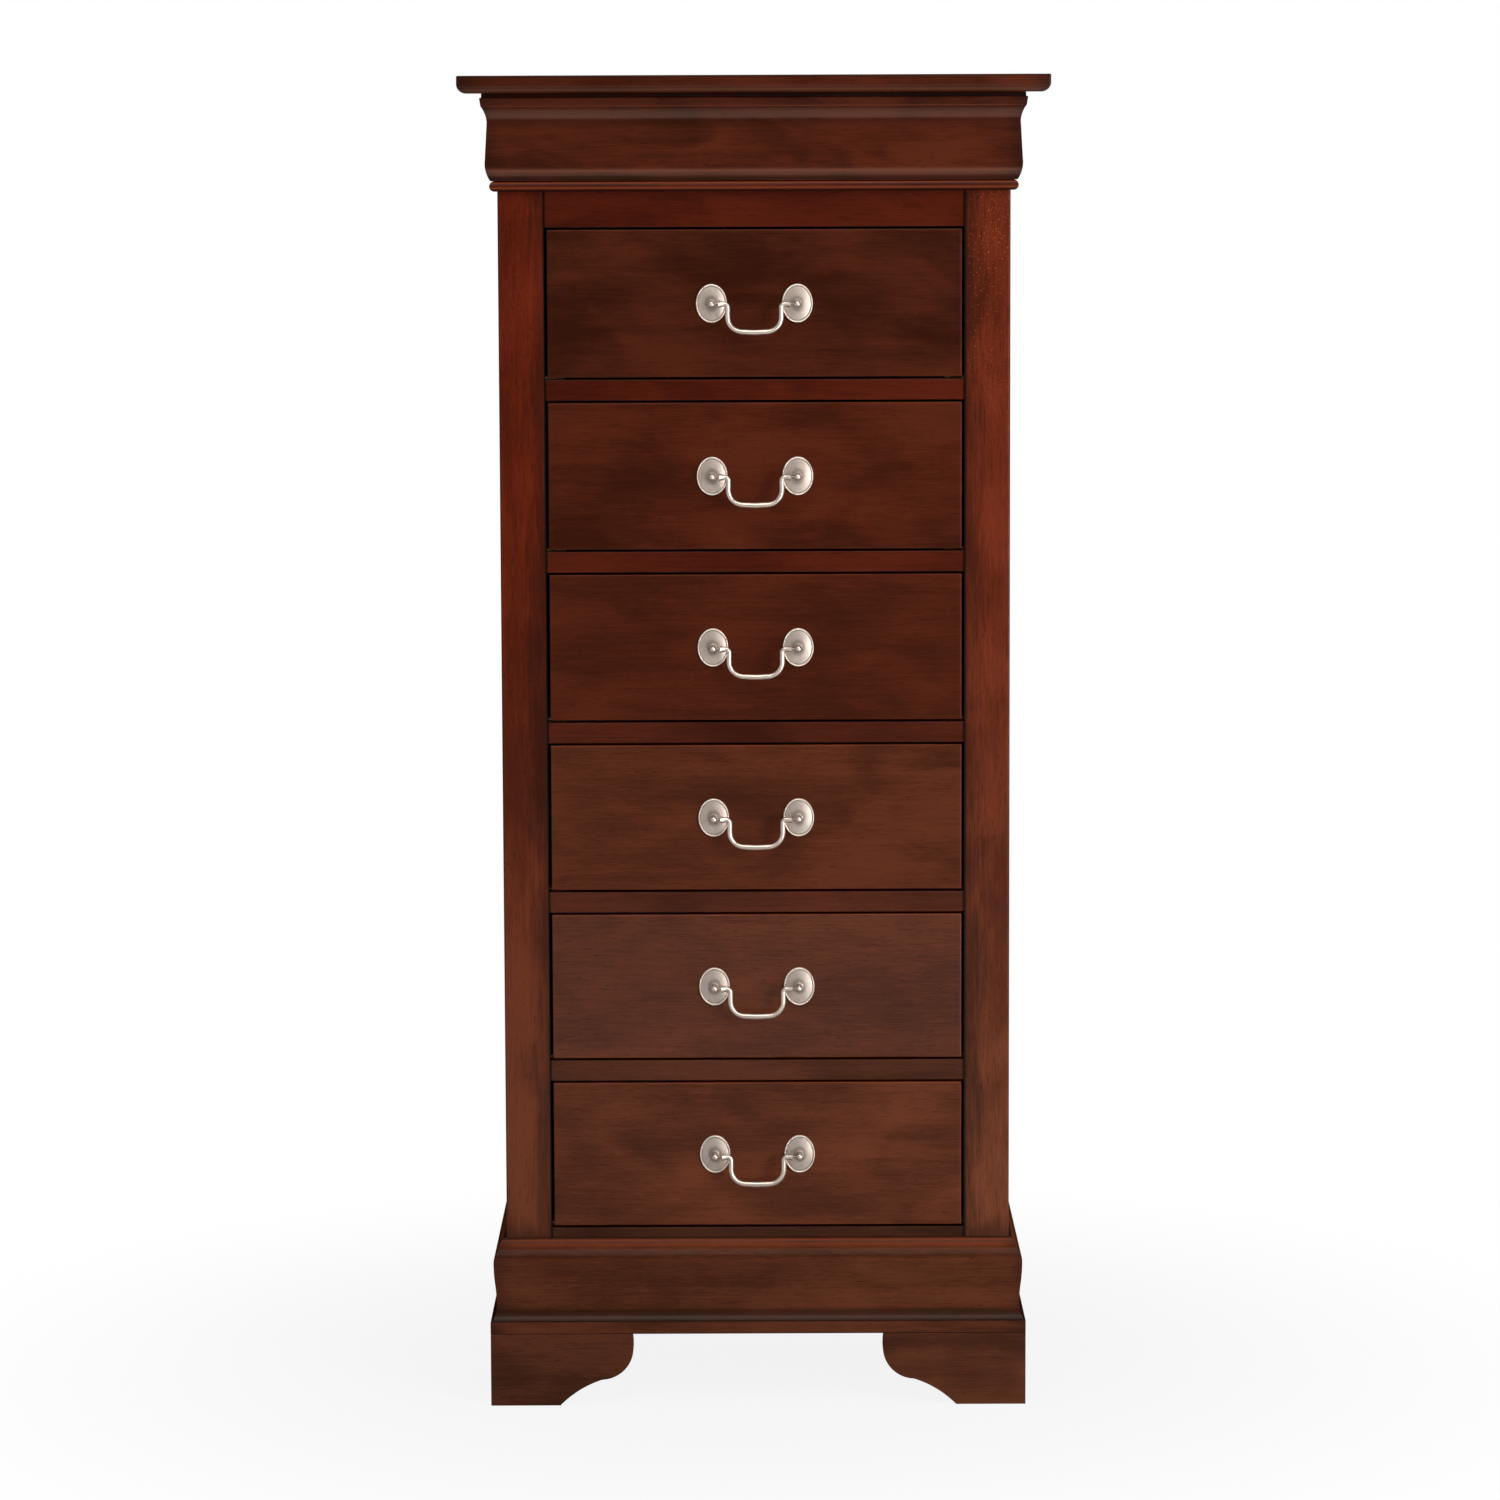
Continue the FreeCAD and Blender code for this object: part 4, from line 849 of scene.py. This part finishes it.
# Floor: a pale sheet that starts a few metres before the chest and runs on behind it. Near the chest it takes
# a soft shadow, and further off it fades to the white of the background.
SIDE, NEAR, FAR = 9, -4.4, 16
floor_corners = [(-SIDE, NEAR, 0), (SIDE, NEAR, 0), (SIDE, FAR, 0), (-SIDE, FAR, 0)]
floor_mesh = bpy.data.meshes.new("studio_floor")
floor_mesh.from_pydata(floor_corners, [], [(0, 1, 2, 3)])
floor = bpy.data.objects.new("studio_floor", floor_mesh)
bpy.context.scene.collection.objects.link(floor)
material, shader, place = finish("pale_floor", Roughness=0.9, Specular_IOR_Level=0.0)
path = material.node_tree.nodes.new("ShaderNodeLightPath")
seen = Shade(path.outputs["Is Camera Ray"])
mirrored = Shade(path.outputs["Is Glossy Ray"]) + Shade(path.outputs["Is Transmission Ray"])
distance = place.node("VectorMath", {"operation": "LENGTH"}, {0: place}, output="Value")
grey = distance.fade(0.5, 1.1).blend((0.5, 0.5, 0.5, 1), (0.3, 0.3, 0.3, 1))
place.feed(shader.inputs["Base Color"], grey)
glow = place.node("Emission", {}, {"Color": (1, 1, 1, 1), "Strength": 1.0})
band = distance.fade(0.9, 1.6) * distance.fade(3.0, 5.2, 1.0, 0.25)
white = seen * distance.fade(0.25, 1.0, 0.88, 1.0) + mirrored * band * 0.7
mixed = place.node("MixShader", {}, {0: white, 1: Shade(shader.outputs[0]), 2: glow})
place.feed(material.node_tree.nodes["Material Output"].inputs["Surface"], mixed)
floor_mesh.materials.append(material)


# Light: a tall soft box at the right, a weaker one further off at the left and a wide, faintly warm one
# overhead, in a room whose far side is a white backdrop and whose near side is dim.
def soft_box(name, place, aim, width, height, power, colour=(1, 1, 1)):
    """Area lamp of this size at a place, turned to face its aim."""
    lamp = bpy.data.lights.new(name, "AREA")
    lamp.color = colour
    lamp.shape = "RECTANGLE"
    lamp.size = width
    lamp.size_y = height
    lamp.energy = power
    stand = bpy.data.objects.new(name, lamp)
    stand.location = place
    stand.rotation_euler = (Vector(aim) - Vector(place)).to_track_quat("-Z", "Y").to_euler()
    bpy.context.scene.collection.objects.link(stand)


soft_box("key_box", (1.7, -2.1, 0.8), (0, -0.1, 0.65), width=1.1, height=1.7, power=51)
soft_box("fill_box", (-3.1, -4.2, 1.7), (0, -0.1, 0.5), width=1.8, height=2.2, power=22)
soft_box("overhead_box", (0.3, -2.3, 3.5), (0, -0.1, 0.4), 3.2, 2.4, power=66, colour=(1.0, 0.98, 0.92))

world = bpy.data.worlds.new("studio")
bpy.context.scene.world = world
world.use_nodes = True
tree = world.node_tree
path = tree.nodes.new("ShaderNodeLightPath")
way = Shade(tree.nodes.new("ShaderNodeTexCoord").outputs["Generated"])
across, depth, _ = (Shade(part) for part in way.node("SeparateXYZ", {}, {0: way}).socket.node.outputs)
mirrored = Shade(path.outputs["Is Glossy Ray"]) + Shade(path.outputs["Is Transmission Ray"])
backdrop = depth.fade(-0.7, 0.5) * across.fade(-0.05, 0.15, 0.95, 0.15)
strength = 0.25 + mirrored * (backdrop - 0.2)
strength = strength.math("MAXIMUM", strength, Shade(path.outputs["Is Camera Ray"]))
way.feed(tree.nodes["Background"].inputs["Strength"], strength)
tree.nodes["Background"].inputs["Color"].default_value = (1, 1, 1, 1)
bpy.context.scene.view_settings.view_transform = "Standard"


# Camera: a long lens level with the top board, five metres away, looking a little down. Its place and turn are
# fitted to the upright and level lines of the case.
PITCH = 0.1212
ROLL = -0.0038
CAMERA_PLACE = (-0.0058, -5.436, 1.287)
lens = bpy.data.cameras.new("photo_camera")
lens.sensor_width = 36.0
lens.lens = 131.4
camera = bpy.data.objects.new("photo_camera", lens)
turn = Matrix.Rotation(math.pi / 2 - PITCH, 4, "X") @ Matrix.Rotation(ROLL, 4, "Z")
camera.matrix_world = Matrix.Translation(CAMERA_PLACE) @ turn
bpy.context.scene.collection.objects.link(camera)
bpy.context.scene.camera = camera
